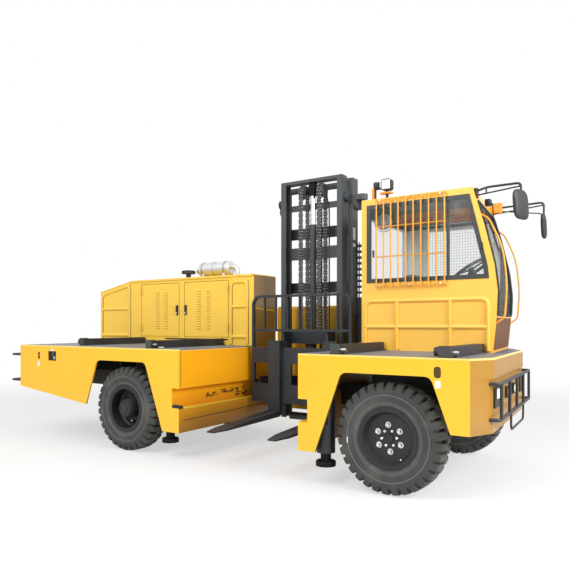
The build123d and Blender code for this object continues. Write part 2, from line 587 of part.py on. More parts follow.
room_front = [(front_x(z, CAB_Y + s) - s, z) for x, z in cab_front[1:5]]
room_front = [(room_front[0][0] - 18, DECK_Z + s), *room_front, (front_x(CAB_TOP - s, CAB_Y + s) - s, CAB_TOP - s)]
window_rear = CAB_REAR_X + 49
window_low = SILL_Z + 10
window_high = CAB_TOP - 50
window_front = [(front_x(z, CAB_Y) - 48, z) for z in (window_low, *[z for x, z in cab_front[3:5]])]
near_window = ((window_rear, window_low), *window_front, (window_front[-1][0] - 60, window_high),
               (window_rear, window_high))
pane_front = [(x - FRAME_RIM, z) for x, z in window_front]
near_pane = ((window_rear + FRAME_RIM, window_low + FRAME_RIM), (pane_front[0][0] - 4, window_low + FRAME_RIM),
             *pane_front[1:], (window_front[-1][0] - 78, window_high - FRAME_RIM),
             (window_rear + FRAME_RIM, window_high - FRAME_RIM))
rear_window = (CAB_Y + 78, CAB_FAR_Y - 80, DECK_Z + 430, CAB_TOP - 150)
door_x = (CAB_REAR_X + 189, CAB_REAR_X + 857)
door_z = (DECK_Z + 46, CAB_TOP - 106)
door_pane = (door_x[0] + 60, door_x[1] - 60, DECK_Z + 530, door_z[1] - 60)
rib_top = DECK_Z + 426
rib_xs = (CAB_REAR_X + 27, CAB_REAR_X + 309, CAB_REAR_X + 751, CAB_REAR_X + 1040)
with BuildPart() as cab_shell:
    leaning_room(cab_front, 0, CAB_Y, CAB_FAR_Y)
    leaning_room(room_front, s, CAB_Y + s, CAB_FAR_Y - s, Mode.SUBTRACT)
    side_prism(near_window, CAB_Y - 1, CAB_Y + s + 1, Mode.SUBTRACT)
    block(CAB_REAR_X - 1, CAB_REAR_X + s + 1, *rear_window, mode=Mode.SUBTRACT)
    side_prism(front_band(SHIN_Z, BROW_Z, CAB_Y + 46, 60, 60 + s + 90), CAB_Y + 46, CAB_FAR_Y - 46, Mode.SUBTRACT,
               lean=CAB_LEAN * (CAB_WIDE - 92) / CAB_WIDE)
    block(door_x[0] - DOOR_GAP, door_x[1] + DOOR_GAP, CAB_FAR_Y - s - 1, CAB_FAR_Y + 1, door_z[0] - DOOR_GAP,
          door_z[1] + DOOR_GAP, mode=Mode.SUBTRACT)
    # Raised ribs on the lower near wall, the outer frame rounded at its top corners
    rib_y = (CAB_Y - RIB_OUT, CAB_Y)
    frame_corners = ((rib_xs[0], rib_top), (rib_xs[-1], rib_top))
    side_prism(((rib_xs[0], DECK_Z), *frame_corners, (rib_xs[-1], DECK_Z)), *rib_y,
               rounds=[(corner, 60) for corner in frame_corners])
    for x0, x1 in zip(rib_xs, rib_xs[1:]):
        for z0, z1 in ((DECK_Z - 1, DECK_Z + 187), (DECK_Z + 187 + RIB_W, rib_top - RIB_W)):
            block(x0 + RIB_W, x1, CAB_Y - RIB_OUT - 1, CAB_Y, z0, z1, mode=Mode.SUBTRACT)
    for z in (door_z[0] + 200, door_z[1] - 200):
        pin_x = door_x[0] - DOOR_GAP / 2
        rod("Z", HINGE_R, z + HINGE_LONG / 2 + RUN_GAP, z + HINGE_LONG, pin_x, CAB_FAR_Y + HINGE_R + RUN_GAP)
        block(pin_x - 24, pin_x - 2, CAB_FAR_Y, CAB_FAR_Y + 6, z + HINGE_LONG / 2 + RUN_GAP, z + HINGE_LONG)
save(cab_shell, "cab_shell")

# Dark frame round the near window, with the upright of its sliding pane
with BuildPart() as window_frame:
    side_prism(near_window, CAB_Y - 5, CAB_Y + 20)
    side_prism(near_pane, CAB_Y - 6, CAB_Y + 21, Mode.SUBTRACT)
    divider_x = CAB_REAR_X + 742
    block(divider_x - 12, divider_x + 12, CAB_Y + 6, CAB_Y + 20, window_low + FRAME_RIM - 4, window_high - FRAME_RIM + 4)
save(window_frame, "window_frame")

with BuildPart() as cab_glass:
    side_prism(near_pane, CAB_Y, CAB_Y + GLASS_T)
    block(CAB_REAR_X + 12, CAB_REAR_X + 12 + GLASS_T, *rear_window)
save(cab_glass, "cab_glass")

with BuildPart() as windshield:
    side_prism(front_band(SHIN_Z, BROW_Z, CAB_Y + 46, -5, GLASS_T), CAB_Y + 46, CAB_FAR_Y - 46,
               lean=CAB_LEAN * (CAB_WIDE - 92) / CAB_WIDE)
save(windshield, "windshield")

with BuildPart() as cab_door:
    block(*door_x, CAB_FAR_Y - s, CAB_FAR_Y, *door_z)
    block(*door_pane[:2], CAB_FAR_Y - s - 1, CAB_FAR_Y + 1, *door_pane[2:], mode=Mode.SUBTRACT)
    for z in (door_z[0] + 200, door_z[1] - 200):
        pin_x = door_x[0] - DOOR_GAP / 2
        rod("Z", HINGE_R, z - HINGE_LONG / 2, z + HINGE_LONG / 2, pin_x, CAB_FAR_Y + HINGE_R + RUN_GAP)
        block(pin_x + 2, pin_x + 26, CAB_FAR_Y, CAB_FAR_Y + 6, z - HINGE_LONG / 2, z + HINGE_LONG / 2)
    block(door_x[1] - 110, door_x[1] - 30, CAB_FAR_Y, CAB_FAR_Y + 24, door_pane[2] - 120, door_pane[2] - 90)
save(cab_door, "cab_door")

with BuildPart() as door_glass:
    block(*door_pane[:2], CAB_FAR_Y - 18, CAB_FAR_Y - 18 + GLASS_T, *door_pane[2:])
save(door_glass, "door_glass")

# Bars before the near window, on stubs from the wall
GUARD_BAR_R = 6
GUARD_OUT = 30
guard_x0 = CAB_REAR_X + 148
guard_x1 = guard_x0 + (GUARD_BARS - 1) * GUARD_PITCH
guard_z = (SILL_Z - 24, CAB_TOP - 18)
with BuildPart() as window_guard:
    for step in range(GUARD_BARS):
        rod("Z", GUARD_BAR_R, guard_z[0] - 6, guard_z[1] + 6, guard_x0 + step * GUARD_PITCH, CAB_Y - GUARD_OUT)
    for z in (guard_z[0], guard_z[0] + 250, guard_z[0] + 500, guard_z[1]):
        rod("X", 5, guard_x0 - 10, guard_x1 + 10, CAB_Y - GUARD_OUT + 8, z)
    for x in (guard_x0, (guard_x0 + guard_x1) / 2, guard_x1):
        for z in guard_z:
            block(x - 5, x + 5, CAB_Y - GUARD_OUT + 8, CAB_Y, z - 5, z + 5)
save(window_guard, "window_guard")

# Bent grab rods each side of the windshield
ROD_OUT = 70
with BuildPart() as grab_rods:
    for y in (CAB_Y + 24, CAB_FAR_Y - 24):
        zs = (DECK_Z + 250, DECK_Z + 300, DECK_Z + 473, DECK_Z + 640, DECK_Z + 780)
        outs = (-4, 42, ROD_OUT, 60, -4)
        tube([(front_x(z, y) + out, y, z) for z, out in zip(zs, outs)], 7, 20)
    add(cab_shell.part, mode=Mode.SUBTRACT)
save(grab_rods, "grab_rods")

# Seat and controls inside the cab
SEAT_X = CAB_REAR_X + 283
SEAT_Y = CAB_Y + 308
SEAT_WIDE = 460
with BuildPart() as seat:
    block(SEAT_X + 60, SEAT_X + 360, SEAT_Y + 60, SEAT_Y + SEAT_WIDE - 60, DECK_Z + s, DECK_Z + 330)
    block(SEAT_X, SEAT_X + 440, SEAT_Y, SEAT_Y + SEAT_WIDE, DECK_Z + 330, DECK_Z + 430)
    end_outline = ((SEAT_Y, DECK_Z + 430), (SEAT_Y + SEAT_WIDE, DECK_Z + 430),
                   (SEAT_Y + SEAT_WIDE - 40, DECK_Z + 950), (SEAT_Y + 40, DECK_Z + 950))
    end_prism(end_outline, SEAT_X - 30, SEAT_X + 70, rounds=[(corner, 50) for corner in end_outline[2:]])
save(seat, "seat")

WHEEL_AT = (FRONT_AXLE_X + 200, SEAT_Y + SEAT_WIDE / 2, DECK_Z + 690)
WHEEL_TILT = -32
with BuildPart() as console:
    x = WHEEL_AT[0]
    side_prism(((x + 30, DECK_Z + s), (x + 165, DECK_Z + s), (x + 180, DECK_Z + 420), (x + 130, DECK_Z + 560),
                (x + 50, DECK_Z + 540)), WHEEL_AT[1] - 190, WHEEL_AT[1] + 190)
    with Locations(Location(WHEEL_AT, (0, WHEEL_TILT, 0))):
        Torus(170, 14)
        with Locations((0, 0, -85)):
            Cylinder(22, 200)
        for turn in (0, 120, 240):
            with Locations(Location((0, 0, 0), (0, 0, turn))):
                with Locations((85, 0, 0)):
                    Box(172, 22, 12)
save(console, "console")

# Mirrors on bent arms from the roof's front corners
ARM_R = 9
MIRROR_OUT = 155
mirror_rows = (  # bracket's y, mirror's near and far edge, its low and high edge
    (CAB_Y + 50, CAB_Y - MIRROR_OUT, CAB_Y - 28, DECK_Z + 975, DECK_Z + 1192),
    (CAB_FAR_Y - 50, CAB_FAR_Y - 90, HALF_W, DECK_Z + 940, DECK_Z + 1110))
with BuildPart() as mirrors:
    for bracket_y, near, far, low, high in mirror_rows:
        arm_y = (near + far) / 2
        plate_x = front_x(CAB_TOP - 40, bracket_y)
        block(plate_x - 12, plate_x + 22, bracket_y - 25, bracket_y + 25, CAB_TOP - 75, CAB_TOP - 8)
        tip_x = FRONT_AXLE_X + 700
        tube(((plate_x + 12, bracket_y, CAB_TOP - 30), (plate_x + 100, bracket_y, CAB_TOP - 4), (tip_x, arm_y, CAB_TOP + 4),
              (tip_x, arm_y, low + 60)), ARM_R, 24)
        tube(((plate_x + 12, bracket_y, CAB_TOP - 60), (tip_x, arm_y, CAB_TOP - 24)), ARM_R - 2)
        end_outline = ((near, low), (far, low), (far, high), (near, high))
        end_prism(end_outline, tip_x - 16, tip_x + 22, rounds=[(corner, 34) for corner in end_outline])
    add(cab_shell.part, mode=Mode.SUBTRACT)
save(mirrors, "mirrors")

# Work lamp on the roof's rear corner
LAMP_X = CAB_REAR_X + 168
with BuildPart() as work_lamp:
    block(LAMP_X, LAMP_X + 90, CAB_Y + 18, CAB_Y + 78, CAB_TOP + 72, CAB_TOP + 165)
    fillet(work_lamp.edges().filter_by(Axis.Y), 20)
    block(LAMP_X + 35, LAMP_X + 55, CAB_Y + 38, CAB_Y + 58, CAB_TOP, CAB_TOP + 74)
    rod("Z", 9, CAB_TOP, CAB_TOP + 100, LAMP_X - 62, CAB_Y + 48)
    rod("X", 9, LAMP_X - 62, LAMP_X + 6, CAB_Y + 48, CAB_TOP + 94)
save(work_lamp, "work_lamp")

# Wheels: sections are (outwards from the wheel's middle plane, radius)
tyre_section = ((BEAD_HALF, RIM_R + RUN_GAP), (BEAD_HALF, FLANGE_R + 2), (97, FLANGE_R + 8), (104, 260),
                (TYRE_HALF, 305), (100, TYRE_R - 45), (92, TYRE_R - 15), (78, TYRE_R))
tyre_section += tuple((-out, radius) for out, radius in reversed(tyre_section))
flange = BEAD_HALF + 8
rim_edges = ((flange, FLANGE_R), (BEAD_HALF + RUN_GAP, FLANGE_R), (BEAD_HALF + RUN_GAP, RIM_R - 0.3),
             (-BEAD_HALF - RUN_GAP, RIM_R - 0.3), (-BEAD_HALF - RUN_GAP, FLANGE_R), (-flange, FLANGE_R),
             (-flange, RIM_R - 10))
front_rim_section = ((58, 0), (58, 30), (50, 34), (50, 165), (78, 180), (flange, 186), *rim_edges, (28, 180),
                     (38, 165), (38, HUB_R), (-HUB_IN, HUB_R), (-HUB_IN, 0))
rear_rim_section = ((97, 0), (97, 54), (88, 64), (-18, 68), (-18, 165), (-8, 180), (flange, 186), *rim_edges,
                    (-40, 180), (-30, 165), (-30, HUB_R), (-HUB_IN, HUB_R), (-HUB_IN, 0))


def turned(section, axle_x, axle_y, axle_z, side):
    """Solid of revolution about a wheel's own axis."""
    points = [(axle_y + side * out, axle_z + radius) for out, radius in section]
    with BuildSketch(Plane.YZ.offset(axle_x)) as outline:
        with BuildLine():
            Polyline(*points, close=True)
        make_face()
    revolve(outline.sketch, axis=Axis((axle_x, 0, axle_z), (0, 1, 0)))


# One tyre with its lugs: grooves across both shoulders, staggered by half a pitch
with BuildPart() as tyre_form:
    turned(tyre_section, 0, 0, 0, 1)
    for side in (-1, 1):
        with Locations(Location((0, side * TYRE_HALF, 0), (90, 0, 0))):
            with PolarLocations(TYRE_R, LUGS, start_angle=90 * (1 + side) / LUGS):
                Box(2 * LUG_DEEP, LUG_GROOVE, 100, mode=Mode.SUBTRACT)

wheel_rows = (("rear_near", REAR_AXLE_X, -1, rear_rim_section), ("rear_far", REAR_AXLE_X, 1, rear_rim_section),
              ("front_near", FRONT_AXLE_X, -1, front_rim_section), ("front_far", FRONT_AXLE_X, 1, front_rim_section))
for name, axle_x, side, rim_section in wheel_rows:
    with BuildPart() as tyre:
        with Locations((axle_x, side * WHEEL_Y, TYRE_R)):
            add(tyre_form.part)
    save(tyre, f"tyre_{name}")
    with BuildPart() as rim:
        turned(rim_section, axle_x, side * WHEEL_Y, TYRE_R, side)
    save(rim, f"rim_{name}")

# Axles
end_y = WHEEL_Y - HUB_IN - RUN_GAP
with BuildPart() as rear_axle:
    rod("Y", AXLE_R, -end_y, end_y, REAR_AXLE_X, TYRE_R)
    with BuildSketch(Plane.YZ.offset(REAR_AXLE_X)) as housing:
        with BuildLine():
            Polyline((-DIFF_R - 60, TYRE_R), (-DIFF_R - 60, TYRE_R + AXLE_R - 5), (-90, TYRE_R + DIFF_R - 46),
                     (90, TYRE_R + DIFF_R - 46), (DIFF_R + 60, TYRE_R + AXLE_R - 5), (DIFF_R + 60, TYRE_R), close=True)
        make_face()
        fillet(housing.vertices().group_by(Axis.Y)[-1], 60)
    revolve(housing.sketch, axis=Axis((REAR_AXLE_X, 0, TYRE_R), (0, 1, 0)))
    for side in (-1, 1):
        block(REAR_AXLE_X - 70, REAR_AXLE_X + 70, side * (FRAME_Y - FRAME_WIDE), side * FRAME_Y, TYRE_R, FRAME_BOTTOM)
save(rear_axle, "rear_axle")

KNUCKLE_HALF = 102
YOKE_T = 28
yoke_y = KINGPIN_Y - BEAM_HALF
with BuildPart() as front_axle:
    beam = (FRONT_AXLE_X - BEAM_HALF, FRONT_AXLE_X + BEAM_HALF)
    block(*beam, -yoke_y, yoke_y, TYRE_R - BEAM_HALF, TYRE_R + BEAM_HALF)
    for side in (-1, 1):
        half = KNUCKLE_HALF + YOKE_T
        block(*beam, side * (yoke_y - 35), side * yoke_y, TYRE_R - half, TYRE_R + half)
        for z0, z1 in ((KNUCKLE_HALF, half), (-half, -KNUCKLE_HALF)):
            block(*beam, side * (yoke_y - 35), side * (KINGPIN_Y + 50), TYRE_R + z0, TYRE_R + z1)
    block(FRONT_AXLE_X - 70, FRONT_AXLE_X + 70, -100, 100, TYRE_R + BEAM_HALF, FRAME_BOTTOM)
save(front_axle, "front_axle")

for label, side in (("knuckle_near", -1), ("knuckle_far", 1)):
    with BuildPart() as knuckle:
        top = KNUCKLE_HALF - RUN_GAP
        rod("Z", 50, TYRE_R - top, TYRE_R + top, FRONT_AXLE_X, side * KINGPIN_Y)
        rod("Y", 65, side * KINGPIN_Y, side * end_y, FRONT_AXLE_X, TYRE_R)
    save(knuckle, label)

# Stabiliser barrels on brackets from the side panel and deck, with their legs
LEG_LOW = 235
with BuildPart() as leg_barrels:
    for x in LEG_XS:
        rod("Z", LEG_BARREL_R, LEG_LOW, UNDER_DECK, x, LEG_Y)
        for z in (SKIRT_Z + 200, UNDER_DECK - 160):
            block(x - 45, x + 45, PANEL - HALF_W, LEG_Y, z, z + 60)
        rod("Z", LEG_R, LEG_LOW - 1, LEG_LOW + 465, x, LEG_Y, mode=Mode.SUBTRACT)
save(leg_barrels, "leg_barrels")

for label, x in (("leg_rear", LEG_XS[0]), ("leg_front", LEG_XS[1])):
    with BuildPart() as leg:
        rod("Z", LEG_R - ROD_GAP, FOOT_Z + 30, LEG_LOW + 365, x, LEG_Y)
        rod("Z", LEG_FOOT_R, FOOT_Z, FOOT_Z + 40, x, LEG_Y)
        fillet(leg.edges().filter_by(GeomType.CIRCLE).group_by(Axis.Z)[1], 12)
    save(leg, label)

# Reach frame on rollers in the well's rails
ROLLER_R = 78
RAIL_ROLLER_Z = RAIL_BOTTOM + ROLLER_R + RUN_GAP
REACH_SIDE = 22
REACH_PLATE = 20
with BuildPart() as reach_frame:
    frame_z = (RAIL_BOTTOM - 22, RAIL_TOP + 23)
    for wall, inward in ((WELL_REAR_X, 1), (WELL_FRONT_X, -1)):
        plate_x = wall + inward * REACH_SIDE
        block(plate_x, plate_x + inward * REACH_PLATE, REACH_Y - 340, REACH_Y, *frame_z)
        for y in (REACH_Y - 260, REACH_Y - 80):
            rod("X", ROLLER_R, *sorted((wall - inward * 60, plate_x)), y, RAIL_ROLLER_Z)
    inner_x = (WELL_REAR_X + REACH_SIDE + REACH_PLATE, WELL_FRONT_X - REACH_SIDE - REACH_PLATE)
    back_y = OUTER_Y + OUTER_DEEP
    block(*inner_x, back_y, REACH_Y, frame_z[0], frame_z[0] + 120)
    block(*inner_x, back_y, REACH_Y - 40, frame_z[1] - 55, frame_z[1])
save(reach_frame, "reach_frame")


def channel(x, inward, y0, deep, z0, z1):
    """Mast channel, its web at x and its open side inward."""
    block(x, x + inward * CHANNEL_T, y0, y0 + deep, z0, z1)
    block(x, x + inward * CHANNEL_W, y0, y0 + CHANNEL_T, z0, z1)
    block(x, x + inward * CHANNEL_W, y0 + deep - CHANNEL_T, y0 + deep, z0, z1)


# Outer mast: two channels tied across their backs, a foot for the lift cylinder, and its side brackets
FOOT_T = 39
EAR_Z = OUTER_TOP - 240
outer_ties = ((OUTER_BOTTOM + 250, 140), (OUTER_BOTTOM + 1250, 110), (OUTER_TOP - 530, 110), (OUTER_TOP - 60, 60))
with BuildPart() as outer_mast:
    back_y = OUTER_Y + OUTER_DEEP
    for side in (-1, 1):
        channel(MAST_X + side * OUTER_HALF, -side, OUTER_Y, OUTER_DEEP, OUTER_BOTTOM, OUTER_TOP)
        ear_x = MAST_X + side * OUTER_HALF
        rod("X", 52, *sorted((ear_x, ear_x + side * 26)), OUTER_Y + OUTER_DEEP / 2, EAR_Z)
    for z, high in outer_ties:
        block(MAST_X - OUTER_HALF, MAST_X + OUTER_HALF, back_y - CHANNEL_T, back_y, z, z + high)
    block(MAST_X - OUTER_HALF, MAST_X + OUTER_HALF, back_y - CHANNEL_T, back_y, OUTER_BOTTOM, OUTER_BOTTOM + FOOT_T)
    block(MAST_X - 250, MAST_X + 250, LIFT_Y - 40, back_y, OUTER_BOTTOM, OUTER_BOTTOM + FOOT_T)
    lug_x = MAST_X + OUTER_HALF
    plan = ((lug_x, OUTER_Y + 12), (lug_x + 125, OUTER_Y + 12), (lug_x + 125, OUTER_Y + 98), (lug_x, OUTER_Y + 98))
    flat_prism(plan, EAR_Z + 30, EAR_Z + 80, rounds=[(corner, 42) for corner in plan[1:3]])
    block(lug_x, lug_x + 55, OUTER_Y + 80, OUTER_Y + 98, EAR_Z - 60, EAR_Z + 31)
save(outer_mast, "outer_mast")

BARREL_TOP = OUTER_TOP - 420
with BuildPart() as lift_barrel:
    rod("Z", BARREL_R, OUTER_BOTTOM + FOOT_T, BARREL_TOP, MAST_X, LIFT_Y)
    rod("Z", BARREL_R + 2, BARREL_TOP - 130, BARREL_TOP - 100, MAST_X, LIFT_Y)
    rod("Z", ROD_R, OUTER_BOTTOM + FOOT_T + 20, BARREL_TOP + 1, MAST_X, LIFT_Y, mode=Mode.SUBTRACT)
save(lift_barrel, "lift_barrel")

# Hose carrier up the mast's cab side: a closed trough below, the jointed chain above it
HOSE_WIDE = 46
HOSE_DEEP = 50
HOSE_Z = (1015, 1426, 1980)
HOSE_PITCH = 56
hose_x = MAST_X + OUTER_HALF
hose_y = OUTER_Y + OUTER_DEEP - 25
with BuildPart() as hose_chain:
    block(hose_x, hose_x + HOSE_WIDE, hose_y, hose_y + HOSE_DEEP, HOSE_Z[0], HOSE_Z[1])
    for y in (hose_y, hose_y + HOSE_DEEP - 8):
        block(hose_x, hose_x + 9, y, y + 8, HOSE_Z[1], HOSE_Z[2])
    for step in range(int((HOSE_Z[2] - HOSE_Z[1]) / HOSE_PITCH) + 1):
        z = HOSE_Z[1] + step * HOSE_PITCH
        block(hose_x, hose_x + HOSE_WIDE, hose_y, hose_y + HOSE_DEEP, z, z + 22)
save(hose_chain, "hose_chain")

# Inner mast, on rollers in the outer channels
outer_roller_r = OUTER_DEEP / 2 - CHANNEL_T - RUN_GAP
TIE_T = 10
inner_ties = ((INNER_BOTTOM + 1568, 120), (INNER_TOP - 284, 60))
with BuildPart() as inner_mast:
    for side in (-1, 1):
        web = MAST_X + side * INNER_HALF
        channel(web, -side, INNER_Y, INNER_DEEP, INNER_BOTTOM, INNER_TOP)
        roller_z = INNER_BOTTOM + 118
        roller_y = OUTER_Y + OUTER_DEEP / 2
        block(web, web - side * CHANNEL_T, INNER_Y + INNER_DEEP - 1, roller_y + 30, roller_z - 80, roller_z + 80)
        rod("X", outer_roller_r, *sorted((web - side, web + side * 38)), roller_y, roller_z)
    block(MAST_X - INNER_HALF, MAST_X + INNER_HALF, INNER_Y, INNER_Y + INNER_DEEP, INNER_TOP - TOP_BAR, INNER_TOP)
    for z, high in inner_ties:
        block(MAST_X - INNER_HALF, MAST_X + INNER_HALF, INNER_Y + INNER_DEEP - TIE_T, INNER_Y + INNER_DEEP, z, z + high)
save(inner_mast, "inner_mast")

# Lift rod, its crosshead bolted under the inner mast's top bar, with the chain sheaves on its cross pin
PIN_R = 18
with BuildPart() as lift_rod:
    rod("Z", ROD_R - ROD_GAP, OUTER_BOTTOM + FOOT_T + 51, SHEAVE_Z - 20, MAST_X, LIFT_Y)
    rod("X", PIN_R, MAST_X - SHEAVE_X - 22, MAST_X + SHEAVE_X + 22, LIFT_Y, SHEAVE_Z)
    block(MAST_X - 34, MAST_X + 34, LIFT_Y - 28, LIFT_Y + 28, SHEAVE_Z - 40, INNER_TOP - TOP_BAR)
save(lift_rod, "lift_rod")

with BuildPart() as sheaves:
    for x in (MAST_X - SHEAVE_X, MAST_X + SHEAVE_X):
        rod("X", SHEAVE_R, x - 11, x + 11, LIFT_Y, SHEAVE_Z)
        for side in (-1, 1):
            rod("X", SHEAVE_R + 8, *sorted((x + side * 11, x + side * 15)), LIFT_Y, SHEAVE_Z)
        rod("X", PIN_R + RUN_GAP, x - 16, x + 16, LIFT_Y, SHEAVE_Z, mode=Mode.SUBTRACT)
save(sheaves, "sheaves")

# Leaf chains: plate packs over the sheaves, with the wider outer plates standing out once a link
CHAIN_HALF = 10
chain_in = SHEAVE_R + RUN_GAP
chain_out = chain_in + CHAIN_T
front_end = CARRIAGE_BARS[1][1] + 45
back_end = OUTER_BOTTOM + 650
with BuildPart() as chains:
    for x in (MAST_X - SHEAVE_X, MAST_X + SHEAVE_X):
        with BuildSketch(Plane.YZ.offset(x - CHAIN_HALF)) as loop:
            with Locations((LIFT_Y, SHEAVE_Z)):
                Circle(chain_out)
                Circle(chain_in, mode=Mode.SUBTRACT)
                with Locations((0, -chain_out)):
                    Rectangle(3 * chain_out, 2 * chain_out, mode=Mode.SUBTRACT)
        extrude(loop.sketch, amount=2 * CHAIN_HALF)
        for y0, end in ((LIFT_Y - chain_out, front_end), (LIFT_Y + chain_in, back_end)):
            block(x - CHAIN_HALF, x + CHAIN_HALF, y0, y0 + CHAIN_T, end, SHEAVE_Z)
    link_rows = ((LIFT_Y - chain_out + CHAIN_T / 2, front_end), (LIFT_Y + chain_in + CHAIN_T / 2, back_end))
    links = [(x, y, SHEAVE_Z - (step + 0.5) * LINK) for x in (MAST_X - SHEAVE_X, MAST_X + SHEAVE_X)
             for y, end in link_rows for step in range(1, int((SHEAVE_Z - end) / LINK))]
    with Locations(*links):
        Box(2 * CHAIN_HALF + 8, CHAIN_T - 4, LINK / 2)
save(chains, "chains")

# Fork carriage on rollers in the inner mast, and its load backrest
inner_roller_r = INNER_DEEP / 2 - CHANNEL_T - RUN_GAP
ROLLER_ZS = (450, 722)
with BuildPart() as carriage:
    for z0, z1 in CARRIAGE_BARS:
        block(CARRIAGE_LEFT, CARRIAGE_RIGHT, BACK_Y, CARRIAGE_BACK_Y, z0, z1)
    for x0, x1 in ((CARRIAGE_LEFT, CARRIAGE_LEFT + 30), (CARRIAGE_RIGHT - 30, CARRIAGE_RIGHT),
                   (MAST_X - 212, MAST_X - 96), (MAST_X + 96, MAST_X + 212)):
        block(x0, x1, BACK_Y, CARRIAGE_BACK_Y, CARRIAGE_BARS[0][1] - 1, CARRIAGE_BARS[1][0] + 1)
    for side in (-1, 1):
        arm_x = MAST_X + side * (INNER_HALF - 80)
        arm_out = MAST_X + side * (INNER_HALF - 60)
        block(arm_x, arm_out, CARRIAGE_BACK_Y, INNER_Y + 78, ROLLER_ZS[0] - 45, ROLLER_ZS[1] + 40)
        block(arm_x, arm_out, CARRIAGE_BACK_Y, INNER_Y - 30, ROLLER_ZS[1] + 40, CARRIAGE_BARS[1][1])
        for z in ROLLER_ZS:
            rod("X", inner_roller_r, *sorted((arm_out, MAST_X + side * (INNER_HALF - 19))),
                INNER_Y + INNER_DEEP / 2, z)
    # Chain anchor plate on two stays
    anchor_y = INNER_Y - 45
    block(MAST_X - 240, MAST_X + 287, anchor_y, anchor_y + 15, 1000, 1130)
    for x in (MAST_X - 205, MAST_X + 275):
        block(x - 12, x + 12, CARRIAGE_BACK_Y, anchor_y + 1, 900, 1130)
save(carriage, "carriage")

POST_W = 24
with BuildPart() as backrest:
    outline = ((CARRIAGE_LEFT, BACKREST_TOP), (CARRIAGE_RIGHT, BACKREST_TOP), (CARRIAGE_RIGHT, CARRIAGE_BARS[1][1]),
               (CARRIAGE_LEFT, CARRIAGE_BARS[1][1]))
    side_prism(outline, BACK_Y, CARRIAGE_BACK_Y, rounds=[(corner, BACKREST_R) for corner in outline[:2]])
    opening = ((CARRIAGE_LEFT + POST_W, BACKREST_TOP - POST_W), (CARRIAGE_RIGHT - POST_W, BACKREST_TOP - POST_W),
               (CARRIAGE_RIGHT - POST_W, BACKREST_LOW), (CARRIAGE_LEFT + POST_W, BACKREST_LOW))
    side_prism(opening, BACK_Y - 1, CARRIAGE_BACK_Y + 1, Mode.SUBTRACT,
               [(corner, BACKREST_R - POST_W) for corner in opening[:2]])
    block(CARRIAGE_LEFT + POST_W, CARRIAGE_RIGHT - POST_W, BACK_Y - 1, CARRIAGE_BACK_Y + 1,
          CARRIAGE_BARS[1][1] - 1, BACKREST_LOW - POST_W, mode=Mode.SUBTRACT)
    pitch = (CARRIAGE_RIGHT - CARRIAGE_LEFT - POST_W) / (BACKREST_BARS + 1)
    for step in range(BACKREST_BARS):
        x = CARRIAGE_LEFT + POST_W / 2 + (step + 1) * pitch
        block(x - 7, x + 7, BACK_Y + 4, CARRIAGE_BACK_Y - 4, BACKREST_LOW - 1, BACKREST_TOP - POST_W + 1)
save(backrest, "backrest")

# Two forks hooked on the carriage bars, their blades thinned and narrowed towards the tips
FORK_HEEL_T = 55
TIP_NARROW = 30
TIP_LONG = 150
fork_side = ((BACK_Y, FORK_TOP), (FORK_Y, FORK_TOP), (FORK_Y, FORK_HEEL_Z), (FORK_TIP_Y, FORK_TIP_Z),
             (FORK_TIP_Y, FORK_TIP_Z - FORK_TIP_T), (BACK_Y, FORK_HEEL_Z - FORK_HEEL_T))
with BuildPart() as forks:
    for x in FORK_XS:
        end_prism(fork_side, x - FORK_W / 2, x + FORK_W / 2, rounds=[(fork_side[-1], FORK_HEEL_R)])
        for side in (-1, 1):
            edge = x + side * FORK_W / 2
            waste = ((edge + side, FORK_TIP_Y - 1), (edge + side, FORK_TIP_Y + TIP_LONG), (edge, FORK_TIP_Y + TIP_LONG),
                     (edge - side * TIP_NARROW, FORK_TIP_Y - 1))
            flat_prism(waste, FORK_TIP_Z - 40, FORK_TIP_Z + 80, Mode.SUBTRACT)
save(forks, "forks")
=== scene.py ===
import math

import bmesh
import bpy
import numpy as np
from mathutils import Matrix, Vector


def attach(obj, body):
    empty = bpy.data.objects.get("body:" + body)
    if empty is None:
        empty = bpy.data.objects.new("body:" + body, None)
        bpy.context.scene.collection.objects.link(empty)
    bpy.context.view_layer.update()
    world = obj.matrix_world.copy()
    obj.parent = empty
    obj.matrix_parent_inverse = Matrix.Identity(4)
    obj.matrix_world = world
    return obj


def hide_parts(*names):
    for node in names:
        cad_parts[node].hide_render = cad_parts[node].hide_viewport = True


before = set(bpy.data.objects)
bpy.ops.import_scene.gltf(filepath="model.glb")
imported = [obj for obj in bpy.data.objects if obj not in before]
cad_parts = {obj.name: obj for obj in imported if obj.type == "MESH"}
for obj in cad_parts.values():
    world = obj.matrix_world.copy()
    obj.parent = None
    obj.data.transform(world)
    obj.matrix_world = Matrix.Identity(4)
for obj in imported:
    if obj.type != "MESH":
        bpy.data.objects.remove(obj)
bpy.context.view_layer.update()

# Camera at eye height off the load side's front corner, looking level across the truck.
# Its lens, place and shift were worked out from the deck, wall and wheel lines.
camera_data = bpy.data.cameras.new("camera")
camera_data.sensor_fit = "HORIZONTAL"
camera_data.sensor_width = 36
camera_data.lens = 37.487
camera_data.shift_x = 0.0277
camera_data.shift_y = 0.0693
camera = bpy.data.objects.new("camera", camera_data)
camera.location = (3.441, -4.745, 1.187)
camera.rotation_euler = (math.radians(90), 0, math.radians(34.155))
bpy.context.collection.objects.link(camera)
bpy.context.scene.camera = camera
bpy.context.scene.view_settings.view_transform = "Standard"


